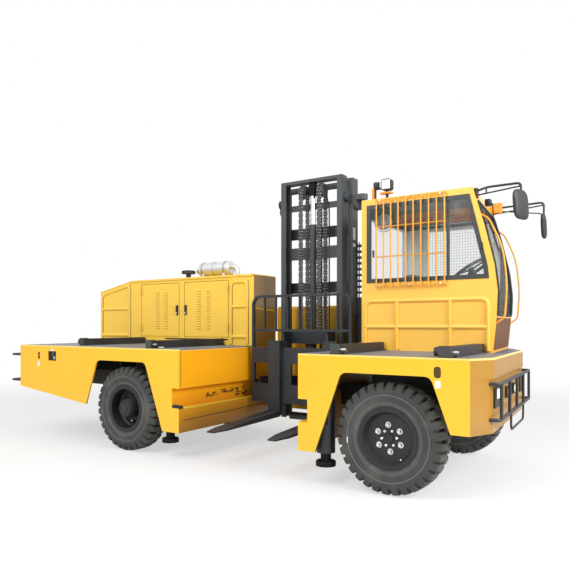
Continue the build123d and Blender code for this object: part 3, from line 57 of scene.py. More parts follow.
# Studio: a pale floor that keeps the truck's shadow and fades into a white backdrop, one large soft
# lamp above the load side, another off the nose, and an even pale sky. Value and start_material
# write the nodes of the floor and of every finish after it.
class Value:
    """A socket in a material. Arithmetic on it adds Math nodes, and node() adds any other node."""

    def __init__(self, tree, socket=None):
        self.tree = tree
        self.socket = socket

    def node(self, kind, settings=None, inputs=None, out=0):
        """Adds a node of a type, sets it up, fills its sockets with values or links, and gives one output."""
        made = self.tree.nodes.new(kind)
        for name, value in (settings or {}).items():
            setattr(made, name, value)
        for name, value in (inputs or {}).items():
            if isinstance(value, Value):
                self.tree.links.new(value.socket, made.inputs[name])
            else:
                made.inputs[name].default_value = value
        return Value(self.tree, made.outputs[out])

    def math(self, operation, *terms):
        return self.node("ShaderNodeMath", {"operation": operation}, dict(enumerate((self, *terms))))

    def __add__(self, other):
        return self.math("ADD", other)

    def __sub__(self, other):
        return self.math("SUBTRACT", other)

    def __rsub__(self, other):
        return self.node("ShaderNodeMath", {"operation": "SUBTRACT"}, {0: other, 1: self})

    def __mul__(self, other):
        return self.math("MULTIPLY", other)

    __radd__ = __add__
    __rmul__ = __mul__

    def rise(self, low, high):
        """0 below low, 1 above high, and a smooth step between them."""
        return self.node("ShaderNodeMapRange", {"interpolation_type": "SMOOTHSTEP"}, {0: self, 1: low, 2: high})

    def within(self, low, high):
        """1 from low to high, and 0 outside them, with a step of 2 mm."""
        return self.rise(low - 0.002, low) * (1 - self.rise(high, high + 0.002))

    def mix(self, first, second):
        """Colour that goes from the first to the second as this goes from 0 to 1."""
        colours = [c if isinstance(c, Value) else (*c, 1) for c in (first, second)]
        return self.node("ShaderNodeMix", {"data_type": "RGBA"}, {0: self, 6: colours[0], 7: colours[1]}, out=2)

    def noise(self, scale, detail=4, stretch=(1, 1, 1)):
        """Cloudy noise of 0 to 1 at this place, stretched along the axes."""
        place = self.node("ShaderNodeMapping", None, {"Vector": self, "Scale": stretch})
        return self.node("ShaderNodeTexNoise", None, {"Vector": place, "Scale": scale, "Detail": detail})

    def along(self, axis):
        return self.node("ShaderNodeSeparateXYZ", None, {0: self}, out=axis)

    def bump(self, strength, distance):
        """Normal for a surface that stands up by distance where this is 1."""
        return self.node("ShaderNodeBump", None, {"Height": self, "Strength": strength, "Distance": distance})

    def feed(self, shader, socket):
        self.tree.links.new(self.socket, shader.inputs[socket])


def start_material(name, **fixed):
    """New material with its shader's own sockets set. Gives the material, the shader and the place on the object."""
    made = bpy.data.materials.new(name)
    made.use_nodes = True
    shader = made.node_tree.nodes["Principled BSDF"]
    for socket, value in fixed.items():
        shader.inputs[socket.replace("_", " ")].default_value = value
    place = Value(made.node_tree).node("ShaderNodeTexCoord", out="Object")
    return made, shader, place


FLOOR_HALF = 60
FLOOR_GREY = (0.86, 0.86, 0.86, 1)
FADE_FROM, FADE_TO = 4, 9
NEAR_WHITE = 0.55
PURE_WHITE = (1, 1, 1, 1)
SKY_LIGHT = 0.55
floor_mesh = bpy.data.meshes.new("floor")
floor_corners = [(-FLOOR_HALF, -FLOOR_HALF, 0), (FLOOR_HALF, -FLOOR_HALF, 0),
                 (FLOOR_HALF, FLOOR_HALF, 0), (-FLOOR_HALF, FLOOR_HALF, 0)]
floor_mesh.from_pydata(floor_corners, [], [(0, 1, 2, 3)])
floor = bpy.data.objects.new("floor", floor_mesh)
bpy.context.collection.objects.link(floor)
floor_paint, floor_shader, place = start_material("pale_floor", Roughness=0.9)
floor_shader.inputs["Base Color"].default_value = FLOOR_GREY
distance = place.node("ShaderNodeVectorMath", {"operation": "LENGTH"}, {0: place}, out="Value")
far = distance.rise(FADE_FROM, FADE_TO)
sees = place.node("ShaderNodeLightPath", out="Is Camera Ray")
white = place.node("ShaderNodeEmission", None, {"Color": PURE_WHITE, "Strength": 1})
both = place.node("ShaderNodeMixShader", None, {0: (far * (1 - NEAR_WHITE) + NEAR_WHITE) * sees, 2: white})
both.tree.links.new(floor_shader.outputs[0], both.socket.node.inputs[1])
both.feed(both.tree.nodes["Material Output"], "Surface")
floor_mesh.materials.append(floor_paint)

world = bpy.data.worlds.new("sky")
bpy.context.scene.world = world
world.use_nodes = True
start = Value(world.node_tree)
seen = start.node("ShaderNodeLightPath", out="Is Camera Ray")
for ray in ("Is Glossy Ray", "Is Transmission Ray"):
    seen = seen.math("MAXIMUM", start.node("ShaderNodeLightPath", out=ray))
(seen * (1 - SKY_LIGHT) + SKY_LIGHT).feed(world.node_tree.nodes["Background"], "Strength")
world.node_tree.nodes["Background"].inputs["Color"].default_value = PURE_WHITE

LAMPS = (  # name, width, watts, place, aimed at
    ("key", 4.0, 340, (-0.5, -6.5, 6.0), (0, 0, 0.8)),
    ("side", 3.0, 420, (7.0, -1.1, 3.5), (1.5, 0, 1.0)))
for name, size, power, spot, aim in LAMPS:
    lamp_data = bpy.data.lights.new(name, "AREA")
    lamp_data.shape = "SQUARE"
    lamp_data.size = size
    lamp_data.energy = power
    lamp = bpy.data.objects.new(name, lamp_data)
    lamp.location = spot
    lamp.rotation_euler = (Vector(aim) - Vector(spot)).to_track_quat("-Z", "Y").to_euler()
    bpy.context.collection.objects.link(lamp)


# Platforms, backbone, hood and cab: folded and welded steel plate in yellow enamel, faintly wavy, with scuffs and
# road dust low down. Painted shade deepens the faces that look forward, most of all low down, and a painted
# highlight runs along the deck's edge. Inside, the cab's faces are near-black as painted shade, with an orange roof
# panel and a pale pleated curtain whose folds carry painted shade.
YELLOW = (0.94, 0.530, 0.020)
SHADE_AND_MOTTLE_YELLOW = (0.88, 0.37, 0.005)
EDGE_HIGHLIGHT = (1.0, 0.74, 0.22)
DUST = (0.42, 0.33, 0.20)
LOW_FRONT_SHADE = (0.12, 0.060, 0.012)
DECK_Z = 0.970
INSIDE_SHADE = (0.030, 0.033, 0.032)
CEILING = (0.55, 0.20, 0.020)
CURTAIN = (0.66, 0.69, 0.66)
DUST_AND_SHADE_LOW, DUST_AND_SHADE_HIGH = 0.25, 0.62
CEILING_Z, CEILING_Y = 2.15, 0.56
CURTAIN_LOW, CURTAIN_HIGH = 1.50, 2.11
CURTAIN_BACK, CURTAIN_FRONT = 1.20, 2.15
PLEAT_WAVE = 170


def yellow_enamel(name, colour=YELLOW, forward_shade=SHADE_AND_MOTTLE_YELLOW, rim_height=None, room=None):
    """Yellow enamel with painted shade deepening the faces that look forward, and a painted highlight along the edge
    at rim_height.
    A face looks into a room where its normal, times the way out from the room's middle, is below 0; there it is
    painted near-black as shade, apart from the ceiling panel and the curtain."""
    made, shader, place = start_material(name, IOR=1.45, Coat_Roughness=0.15)
    normal = place.node("ShaderNodeNewGeometry", out="Normal")
    shaded_front_mask = normal.along("X").rise(0.3, 0.95)
    cloud = place.noise(1.3, 5)
    fine = place.noise(38, 5, (1, 1, 0.4))
    # Painted shade: faces that look forward take the deeper colour, which also serves the random mottle below.
    paint = (shaded_front_mask * 0.9).mix(colour, forward_shade)
    paint = ((cloud - 0.5).rise(-0.1, 0.4) * 0.10).mix(paint, SHADE_AND_MOTTLE_YELLOW)
    # Painted highlight: a pale band just under rim_height.
    if rim_height:
        highlight_band = place.along("Z").rise(rim_height - 0.014, rim_height - 0.009)
        paint = (highlight_band * 0.8).mix(paint, EDGE_HIGHLIGHT)
    low = 1 - place.along("Z").rise(DUST_AND_SHADE_LOW, DUST_AND_SHADE_HIGH)
    dusty = low * fine.rise(0.48, 0.8) * 0.22
    # Painted shade: low faces that look forward are darkened towards brown; the low mask also places the real dust.
    paint = (low * shaded_front_mask * 0.75).mix(dusty.mix(paint, DUST), LOW_FRONT_SHADE)
    scuff = place.noise(60, 3, (0.25, 0.25, 3)).rise(0.66, 0.72) * place.noise(2.2, 2).rise(0.55, 0.7)
    paint = (scuff * 0.30).mix(paint, DUST)
    # Painted shade: the cab's inner faces are near-black, except the orange ceiling panel and the curtain.
    if room:
        outward = place.node("ShaderNodeVectorMath", {"operation": "SUBTRACT"}, {0: place, 1: room})
        facing = outward.node("ShaderNodeVectorMath", {"operation": "DOT_PRODUCT"},
                              {0: outward, 1: normal}, out="Value")
        inside = 1 - facing.rise(-0.02, 0.0)
        length, width, height = place.along("X"), place.along("Y"), place.along("Z")
        overhead = height.rise(CEILING_Z, CEILING_Z + 0.01) * width.rise(CEILING_Y, CEILING_Y + 0.04)
        # The pleats are painted shade: darker stripes on the flat curtain.
        pleat_shade = (length * PLEAT_WAVE + width * PLEAT_WAVE).math("SINE").rise(0.6, 1)
        curtain = (pleat_shade * 0.4).mix(CURTAIN, tuple(0.6 * c for c in CURTAIN))
        hung = height.within(CURTAIN_LOW, CURTAIN_HIGH) * length.rise(CURTAIN_BACK, CURTAIN_BACK + 0.01)
        hung = hung * (1 - length.rise(CURTAIN_FRONT, CURTAIN_FRONT + 0.01)) * width.rise(-0.04, 0.0)
        paint = inside.mix(paint, hung.mix(overhead.mix(INSIDE_SHADE, CEILING), curtain))
    paint.feed(shader, "Base Color")
    (0.30 + fine * 0.12 + dusty * 0.35).feed(shader, "Roughness")
    ((1 - dusty) * 0.25).feed(shader, "Coat Weight")
    (cloud * 0.7 + fine * 0.02).bump(0.25, 0.004).feed(shader, "Normal")
    return made


def dress(names, made):
    """Gives CAD nodes a better material in their slots."""
    for name in names:
        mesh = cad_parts[name].data
        mesh.materials.clear()
        mesh.materials.append(made)


# The hood's yellow is a brighter copy of the enamel, painted light to make up for the lesser light on the hood;
# HOOD_SHADE is painted shade on its forward faces.
HOOD_LIT_YELLOW = (1.0, 0.63, 0.070)
HOOD_SHADE = (0.26, 0.15, 0.055)
BACKBONE_YELLOW = (0.95, 0.51, 0.024)
NOSE_SHADE = (0.27, 0.125, 0.012)
CAB_YELLOW = (1.0, 0.565, 0.082)
CAB_MIDDLE = (1.78, 0.43, 1.62)
dress(("rear_body",), yellow_enamel("rear_enamel", rim_height=DECK_Z))
dress(("front_body",), yellow_enamel("front_enamel", forward_shade=NOSE_SHADE, rim_height=DECK_Z))
dress(("backbone",), yellow_enamel("backbone_enamel", BACKBONE_YELLOW))
hood_paint = yellow_enamel("hood_enamel", HOOD_LIT_YELLOW, HOOD_SHADE)
dress(("hood", "hood_door_rear", "hood_door_front"), hood_paint)
cab_paint = yellow_enamel("cab_enamel", CAB_YELLOW, room=CAB_MIDDLE)
dress(("cab_shell", "cab_door"), cab_paint)


# Openings in the platforms' side panels: pressed pockets with near-black floors, painted shade, that hold a grey
# turned knob, and a moulded amber lens in the front one. A white enamelled half disc is riveted over the square
# pocket.
def surface(name, grids, made, body, sharp=35):
    """One piece from grids of points, each rows by columns by 3, or many such at once. Columns close into rings.
    Each face joins a point to the next in its row and in the row above. Points at a pole are merged."""
    corners, faces, start = [], [], 0
    for grid in grids:
        rows, columns = grid.shape[-3:-1]
        grid = grid.reshape(-1, rows, columns, 3)
        index = start + np.arange(grid.size // 3).reshape(grid.shape[:3])
        beside = np.roll(index, -1, axis=2)
        quads = np.stack((index[:, :-1], beside[:, :-1], beside[:, 1:], index[:, 1:]), axis=-1)
        corners.append(grid.reshape(-1, 3))
        faces.append(quads.reshape(-1, 4))
        start += grid.size // 3
    mesh = bpy.data.meshes.new(name)
    mesh.from_pydata(np.concatenate(corners).tolist(), [], np.concatenate(faces).tolist())
    shape = bmesh.new()
    shape.from_mesh(mesh)
    bmesh.ops.remove_doubles(shape, verts=shape.verts, dist=1e-6)
    bmesh.ops.dissolve_degenerate(shape, edges=shape.edges, dist=1e-7)
    bmesh.ops.recalc_face_normals(shape, faces=shape.faces)
    shape.to_mesh(mesh)
    shape.free()
    mesh.shade_smooth()
    mesh.set_sharp_from_angle(angle=math.radians(sharp))
    mesh.materials.append(made)
    piece = bpy.data.objects.new(name, mesh)
    bpy.context.collection.objects.link(piece)
    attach(piece, body)
    return piece


def turned(section, base, axis, sides=24, turn=0.0):
    """Section of (out, radius) rows carried round an axis from a base point:
    base + out * axis + radius * (cos, sin) across it."""
    axis = np.array(axis, float) / np.linalg.norm(axis)
    helper = np.array((0, 0, 1.0)) if abs(axis[2]) < 0.9 else np.array((1.0, 0, 0))
    first = np.cross(axis, helper)
    first /= np.linalg.norm(first)
    second = np.cross(axis, first)
    angle = turn + np.linspace(0, 2 * math.pi, sides, endpoint=False)
    ring = np.cos(angle)[:, None] * first + np.sin(angle)[:, None] * second
    section = np.array(section, float)
    return np.array(base, float) + section[:, None, :1] * axis + section[:, None, 1:] * ring


def plate(outline, push, bevel=0.002):
    """Flat outline of 3-D points carried by a push vector, its ends closed at their middle;
    a bevel draws the end rings in towards the middle."""
    outline = np.array(outline, float)
    push = np.array(push, float)
    middle = outline.mean(axis=0)
    unit = push / np.linalg.norm(push)
    drawn = middle + (outline - middle) * (1 - bevel / np.abs(outline - middle).max())
    rings = [np.repeat(middle[None], len(outline), 0), drawn, outline + unit * bevel,
             outline + push - unit * bevel, drawn + push, np.repeat(middle[None] + push, len(outline), 0)]
    return np.array(rings)


def box(low, high, bevel=0.001):
    """Bevelled block between two corners."""
    (x0, y0, z0), (x1, y1, z1) = low, high
    return plate(((x0, y0, z0), (x1, y0, z0), (x1, y0, z1), (x0, y0, z1)), (0, y1 - y0, 0), bevel)


def tube(route, radius, bend=0.03, sides=10):
    """Round tube along straight runs, closed at its ends. Each corner B is rounded as
    (1 - t)^2 A + 2 t (1 - t) B + t^2 C, with A and C a bend's length away on its two runs."""
    route = np.array(route, float)
    run = np.diff(route, axis=0)
    length = np.linalg.norm(run, axis=1)[:, None]
    run /= length
    cut = np.minimum(bend, 0.45 * np.minimum(length[:-1], length[1:]))
    corner = route[1:-1, None]
    t = np.linspace(0, 1, 7)[:, None]
    before, after = corner - (cut * run[:-1])[:, None], corner + (cut * run[1:])[:, None]
    curve = (1 - t) ** 2 * before + 2 * t * (1 - t) * corner + t ** 2 * after
    line = np.vstack((route[:1], curve.reshape(-1, 3), route[-1:]))
    step = np.diff(line, axis=0)
    step /= np.linalg.norm(step, axis=1)[:, None]
    ahead = np.vstack((step[:1], step[:-1] + step[1:], step[-1:]))
    ahead /= np.linalg.norm(ahead, axis=1)[:, None]
    first = np.cross(ahead, np.eye(3)[np.abs(ahead).mean(axis=0).argmin()])
    first /= np.linalg.norm(first, axis=1)[:, None]
    second = np.cross(ahead, first)
    angle = np.linspace(0, 2 * math.pi, sides, endpoint=False)
    ring = radius * (np.cos(angle)[None, :, None] * first[:, None] + np.sin(angle)[None, :, None] * second[:, None])
    middle = np.repeat(line[:, None], sides, axis=1)
    return np.vstack((middle[:1], middle + ring, middle[-1:]))


def pressed_flat(grid, level, share):
    """Draws a tube in towards the plane Y = level, to a share of its thickness."""
    grid[..., 1] = level + (grid[..., 1] - level) * share
    return grid


def bolts(spots, axis, across, high):
    """Hexagon heads with a chamfered top at each spot, each turned a little further than the last."""
    section = ((0, 0), (0, across), (high * 0.8, across), (high, across * 0.8), (high, 0))
    return [turned(section, spot, axis, 6, 0.3 * number) for number, spot in enumerate(spots)]


def plain_finish(name, colour, rough):
    """One colour with a slow change of shade and a fine grain."""
    made, shader, place = start_material(name)
    fine, cloud = place.noise(60, 3), place.noise(9, 4)
    (cloud.rise(0.35, 0.75) * 0.35).mix(colour, tuple(0.6 * c for c in colour)).feed(shader, "Base Color")
    (rough + fine * 0.12).feed(shader, "Roughness")
    fine.bump(0.15, 0.0004).feed(shader, "Normal")
    return made


SIDE_Y = -0.960
POCKET_Y = -0.951
POCKET_LIP = 0.003
POCKET_FLOOR = 0.004
POCKETS = ((-2.057, -2.017, 0.825, 0.901), (-1.882, -1.750, 0.816, 0.912))  # back, front, low, high
KNOB_SECTION = ((0, 0), (0, 0.018), (0.006, 0.018), (0.008, 0.011), (0.008, 0))
DISC_SECTION = ((-0.004, 0), (-0.004, 0.026), (0.0004, 0.026), (0.0008, 0.022), (0.0008, 0))
DISC_Z, DISC_CUT_Z = 0.914, 0.913
LOAD_SIDE = (0, -1, 0)
pocket_shade_paint = plain_finish("pocket_shade", (0.012, 0.011, 0.010), 0.8)
pockets = [box((x0 - POCKET_LIP, POCKET_Y, z0 - POCKET_LIP),
               (x1 + POCKET_LIP, POCKET_Y + POCKET_FLOOR, z1 + POCKET_LIP)) for x0, x1, z0, z1 in POCKETS]
surface("panel_pockets", pockets, pocket_shade_paint, "base")
amber_paint = plain_finish("amber_lens", (0.085, 0.040, 0.008), 0.25)
amber = [box((2.163, POCKET_Y - POCKET_FLOOR, 0.836), (2.217, POCKET_Y + POCKET_FLOOR, 0.915), 0.003)]
surface("side_lens", amber, amber_paint, "base")
knob_paint = plain_finish("grey_knob", (0.34, 0.35, 0.36), 0.4)
knobs = [turned(KNOB_SECTION, (-1.785, POCKET_Y, 0.845), LOAD_SIDE, 20),
         box((-1.815, POCKET_Y - 0.004, 0.862), (-1.811, POCKET_Y, 0.905)),
         box((-2.050, POCKET_Y - 0.003, 0.858), (-2.034, POCKET_Y, 0.874))]
surface("pocket_knobs", knobs, knob_paint, "base")
white_paint = plain_finish("white_marker", (0.80, 0.80, 0.76), 0.35)
marker = turned(DISC_SECTION, (-1.812, SIDE_Y, DISC_Z), LOAD_SIDE, 32)
marker[..., 2] = np.maximum(marker[..., 2], DISC_CUT_Z)
surface("side_marker", [marker], white_paint, "base")

# Blank plates: thin white enamelled aluminium, riveted flat on the side panels
# and, one over the other, on the mast's side plate.
MAST_SIDE_X = 0.949
PLATE_T = 0.0006
MAST_PLATE_T = 0.0014
plate_paint = plain_finish("blank_plate", (0.86, 0.85, 0.80), 0.4)
side_plates = [box((x0, SIDE_Y - PLATE_T, z0), (x1, SIDE_Y + 0.001, z1), 0.0003)
               for x0, x1, z0, z1 in ((-2.060, -2.021, 0.752, 0.803), (2.176, 2.212, 0.774, 0.823))]
surface("panel_plates", side_plates, plate_paint, "base")
mast_plates = [box((MAST_SIDE_X, 0.352, z0), (MAST_SIDE_X + MAST_PLATE_T, 0.400, z1), 0.0004)
               for z0, z1 in ((1.992, 2.108), (1.925, 1.957))]
surface("mast_plates", mast_plates, plate_paint, "reach")

# Well wall: folded plate with a recessed rail that the mast's rollers run in. A thin yellow-green line runs along
# its lower edge, two dark brown beads, painted shade, run along its join with the skirt and up its corner with the
# side panel, loads have scraped the enamel off the rail's back, and a rubber block stops its open end.
WELL_X = -0.063
RAIL_BACK_X = WELL_X - 0.079
SCRAPE_HALF = 0.020
SCRAPES = ((-0.300, 0.100, 0.545), (-0.520, -0.330, 0.530), (-0.060, 0.140, 0.500))  # from y, to y, z
line_paint = plain_finish("rail_edge_line", (0.62, 0.66, 0.10), 0.35)
bright_edge = tube(((WELL_X + 0.001, -0.900, 0.458), (WELL_X + 0.001, 0.141, 0.458)), 0.004)
surface("rail_edge", [bright_edge], line_paint, "base")
scrape_paint, shader, place = start_material("rail_scrapes", Roughness=0.6)
torn = place.noise(20, 5, (1, 1, 3.5))
torn.rise(0.50, 0.60).mix((0.030, 0.018, 0.008), (0.10, 0.050, 0.010)).feed(shader, "Base Color")
torn.rise(0.50, 0.54).feed(shader, "Alpha")
scrapes = [box((RAIL_BACK_X - 0.0005, y0, z - SCRAPE_HALF), (RAIL_BACK_X + 0.0005, y1, z + SCRAPE_HALF),
               0.0002) for y0, y1, z in SCRAPES]
surface("rail_scrapes", scrapes, scrape_paint, "base")
# Painted shade: the beads at the wall's foot and in its corner are dark brown.
ledge_shade_paint = plain_finish("well_ledge_shade", (0.10, 0.060, 0.015), 0.7)
ledge_shade_beads = [tube(((WELL_X, -0.900, 0.352), (WELL_X, 0.560, 0.374)), 0.004),
         tube(((WELL_X, -0.935, 0.640), (WELL_X, -0.935, 0.955)), 0.003)]
surface("well_shade_beads", ledge_shade_beads, ledge_shade_paint, "base")
stop_paint = plain_finish("rubber_stop", (0.014, 0.014, 0.014), 0.7)
stop = box((-0.141, SIDE_Y - 0.0005, 0.461), (-0.036, SIDE_Y + 0.030, 0.487), 0.003)
surface("well_stops", [stop], stop_paint, "base")

# Deck plates: grey steel plate rolled with crossed diamond ridges, welded down on the platforms
# and trodden bright in patches.
TREAD_WAVE = 105
deck_paint, shader, place = start_material("deck_steel", Metallic=0.35)
across, along = place.along("X"), place.along("Y")
diamonds = ((across + along) * TREAD_WAVE).math("SINE") * ((across - along) * TREAD_WAVE).math("SINE")
raised = diamonds.math("ABSOLUTE").rise(0.45, 0.7)
worn = place.noise(2.5, 6)
(worn * 0.6 + raised * 0.25).mix((0.092, 0.108, 0.138), (0.30, 0.335, 0.405)).feed(shader, "Base Color")
(0.62 - worn * 0.25).feed(shader, "Roughness")
raised.bump(0.5, 0.0015).feed(shader, "Normal")
dress(("rear_deck", "front_deck"), deck_paint)

# Bolsters and running gear: black box beams bolted across the decks, with grey steel end plates and
# plated roller pins; below them the cast axles and knuckles and the engine block in dark enamel.
def dark_enamel(name, colour, grime, gloss=0.42, grain=1.0):
    """Dark enamel on plate and tube, greyed by dust on upward faces and in the patches of a noise."""
    made, shader, place = start_material(name)
    normal = place.node("ShaderNodeNewGeometry", out="Normal")
    up = normal.along("Z").rise(0.2, 0.9)
    cloud = place.noise(5, 6)
    fine = place.noise(70, 3)
    dusty = (up * 0.5 + 0.12) * cloud.rise(0.35, 0.7)
    dusty.mix(colour, grime).feed(shader, "Base Color")
    (gloss + dusty * 0.35 + fine * 0.1).feed(shader, "Roughness")
    (fine * grain).bump(0.15, 0.0006).feed(shader, "Normal")
    return made


def bare_metal(name, colour, rough, streak=(1, 1, 0.1)):
    """Bare or plated steel with fine drawn streaks and dull patches."""
    made, shader, place = start_material(name, Metallic=1.0)
    fine = place.noise(180, 2, streak)
    dull = place.noise(7, 5).rise(0.45, 0.75)
    (dull * 0.4).mix(colour, tuple(0.55 * c for c in colour)).feed(shader, "Base Color")
    (rough + fine * 0.12 + dull * 0.2).feed(shader, "Roughness")
    fine.bump(0.1, 0.0003).feed(shader, "Normal")
    return made


black_paint = dark_enamel("black_enamel", (0.012, 0.012, 0.013), (0.10, 0.10, 0.10))
dress(("bolsters", "chassis", "leg_barrels"), black_paint)
iron_paint = dark_enamel("axle_iron", (0.022, 0.022, 0.022), (0.16, 0.14, 0.12), 0.6, 3)
dress(("engine_block", "rear_axle", "front_axle", "knuckle_near", "knuckle_far"), iron_paint)
BOLSTERS = (  # rear side, front side, near end, how far its roller pin stands out
    (-1.656, -1.596, -0.740, 0), (-0.497, -0.440, -0.920, 0.055),
    (1.393, 1.458, -0.925, 0.050), (2.186, 2.274, -0.925, 0.040))
END_LOW, END_HIGH, END_LIP = 0.972, 1.043, 0.002
PIN_Z, PIN_R = 1.006, 0.009
end_paint = plain_finish("bolster_end_steel", (0.050, 0.050, 0.052), 0.45)
end_plates = [box((x0 - END_LIP, y - 0.006, END_LOW), (x1 + END_LIP, y + 0.004, END_HIGH), 0.002)
              for x0, x1, y, out in BOLSTERS]
surface("bolster_ends", end_plates, end_paint, "base")
nut_paint = bare_metal("plated_nut", (0.80, 0.80, 0.80), 0.18, (1, 1, 1))
pins = [tube(((x1 - 0.01, y + 0.018, PIN_Z), (x1 + out, y + 0.018, PIN_Z)), PIN_R)
        for x0, x1, y, out in BOLSTERS if out]
pins += [tube(((-0.350, -0.905, 0.980), (-0.290, -0.905, 0.980)), 0.007)]
surface("roller_pins", pins, nut_paint, "base")

# Tube guards across nose and tail: bent and welded 25 and 22 mm steel tube in black enamel, bolted to the
# platforms, with a hanging step at the nose and box lamps with white lenses behind it.
GUARD_R, GUARD_POST_R, STEP_R = 0.0125, 0.011, 0.008
GUARD_BEND = 0.05
GUARD_LOW, GUARD_HIGH = 0.570, 0.803
GUARD_FAR = 0.600
STEP_NEAR, STEP_FAR, STEP_Z = -0.354, 0.246, 0.447
NOSE_X, NOSE_Y, NOSE_RAKE = 2.5395, -0.750, 0.0615


def nose_line(y):
    """Front of the guard at y: NOSE_X, less the rake times the way to y from the near side."""
    return NOSE_X - NOSE_RAKE * (y - NOSE_Y)


guard = [tube(((2.475, -0.786, z), (2.535, -0.768, z), (nose_line(GUARD_FAR), GUARD_FAR, z), (2.391, 0.592, z)),
              GUARD_R, GUARD_BEND, 12) for z in (GUARD_LOW, GUARD_HIGH)]
guard += [tube(((nose_line(y), y, GUARD_LOW), (nose_line(y), y, GUARD_HIGH)), GUARD_POST_R)
          for y in np.linspace(-0.742, 0.578, 5)]
step_line = ((STEP_NEAR, GUARD_LOW), (STEP_NEAR, STEP_Z), (STEP_FAR, STEP_Z), (STEP_FAR, GUARD_LOW))
guard += [tube([(nose_line(y), y, z) for y, z in step_line], STEP_R, GUARD_BEND)]
guard_piece = surface("nose_guard", guard, black_paint, "base")
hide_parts("front_guard")
TAIL_R, TAIL_POST_R = 0.011, 0.009
TAIL_X, TAIL_ROOT_X, TAIL_HALF = TAIL_R - 2.556, -2.361, 0.948
TAIL_LOW, TAIL_HIGH = 0.587, 0.863
tail_line = ((TAIL_ROOT_X, -TAIL_HALF), (TAIL_X, -TAIL_HALF), (TAIL_X, TAIL_HALF), (TAIL_ROOT_X, TAIL_HALF))
tail = [tube([(x, y, z) for x, y in tail_line], TAIL_R, GUARD_BEND, 12) for z in (TAIL_LOW, TAIL_HIGH)]
tail += [tube(((TAIL_X, y, TAIL_LOW), (TAIL_X, y, TAIL_HIGH)), TAIL_POST_R) for y in (-0.6, 0, 0.6)]
tail_piece = surface("tail_guard", tail, black_paint, "base")
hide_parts("rear_guard")
dress(("nose_lamps",), black_paint)
LENS_SECTION = ((0, 0), (0, 0.030), (0.004, 0.030), (0.012, 0.020), (0.015, 0))
lens_paint = plain_finish("lamp_lens", (0.82, 0.84, 0.84), 0.12)
lenses = [turned(LENS_SECTION, (x, y, 0.704), (1, -0.06, 0), 24) for x, y in ((2.4790, -0.260), (2.4605, 0.040))]
lenses += [box((2.5010, -0.706, 0.700), (2.5045, -0.634, 0.765), 0.002)]
surface("nose_lenses", lenses, lens_paint, "base")

# Hood over the engine: welded sheet with pressed rib beads, a folded top lip, and two louvred doors
# that lie on an inner flange and open by black pulls with plated buttons.
HOOD_Y = 0.158
RIB_R, RIB_BEND, RIB_SUNK = 0.018, 0.06, 0.002
RIB_FLAT = 0.78
RIB_FOOT = 0.985


def rib_beads(paths, wall_y):
    """Half-round beads pressed out of a wall: tubes along X, Z paths, sunk a little and flattened."""
    level = wall_y - RIB_SUNK
    lines = [tube([(x, level, z) for x, z in path], RIB_R, RIB_BEND, 14) for path in paths]
    return [pressed_flat(line, level, RIB_FLAT) for line in lines]


HOOD_PANELS = ((-2.363, -1.879, 1.547, 1.649), (-0.357, -0.147, 1.629, 1.629))  # rear, front, and the tops there
hood_beads = [[(x0, RIB_FOOT), (x0, top0), (x1, top1), (x1, RIB_FOOT)] for x0, x1, top0, top1 in HOOD_PANELS]
hood_beads += [[(x0, z), (x1, z)] for x0, x1, top0, top1 in HOOD_PANELS for z in (1.059, 1.373)]
surface("hood_ribs", rib_beads(hood_beads, HOOD_Y), hood_paint, "base")
FLANGE_NEAR, FLANGE_FAR = 0.1785, 0.182
FLANGE_IN, FLANGE_OUT = 0.014, 0.020
DOOR_LOW, DOOR_HIGH = 1.055, 1.648
flanges = []
for x0, x1 in ((-1.681, -1.095), (-1.011, -0.401)):
    for from_x, to_x, from_z, to_z in (
            (x0 - FLANGE_OUT, x0 + FLANGE_IN, DOOR_LOW - FLANGE_OUT, DOOR_HIGH + FLANGE_OUT),
            (x1 - FLANGE_IN, x1 + FLANGE_OUT, DOOR_LOW - FLANGE_OUT, DOOR_HIGH + FLANGE_OUT),
            (x0, x1, DOOR_LOW - FLANGE_OUT, DOOR_LOW + FLANGE_IN),
            (x0, x1, DOOR_HIGH - FLANGE_IN, DOOR_HIGH + FLANGE_OUT)):
        flanges.append(box((from_x, FLANGE_NEAR, from_z), (to_x, FLANGE_FAR, to_z)))
surface("door_flanges", flanges, hood_paint, "base")
LIP_R, LIP_Y, LIP_Z = 0.007, HOOD_Y - 0.001, 1.698
lip_lines = (((-2.396, LIP_Y, 1.580), (-1.834, LIP_Y, LIP_Z), (-0.070, LIP_Y, LIP_Z)),
             ((-0.0675, 0.165, 1.354), (-0.0675, 0.547, 1.330)),
             ((-0.069, 0.160, 1.694), (-0.069, 0.547, 1.694)))
lip_paint = plain_finish("lip_enamel", (1.0, 0.62, 0.060), 0.35)
surface("hood_lips", [tube(line, LIP_R) for line in lip_lines], lip_paint, "base")
# The slot and the strip under the doors are near-black: painted shade.
slots = [tube(((-2.385, HOOD_Y, 1.335), (-2.385, HOOD_Y, 1.445)), 0.004),
         box((-1.307, HOOD_Y - 0.002, 1.021), (-0.402, HOOD_Y + 0.001, 1.035))]
surface("hood_slots", slots, pocket_shade_paint, "base")
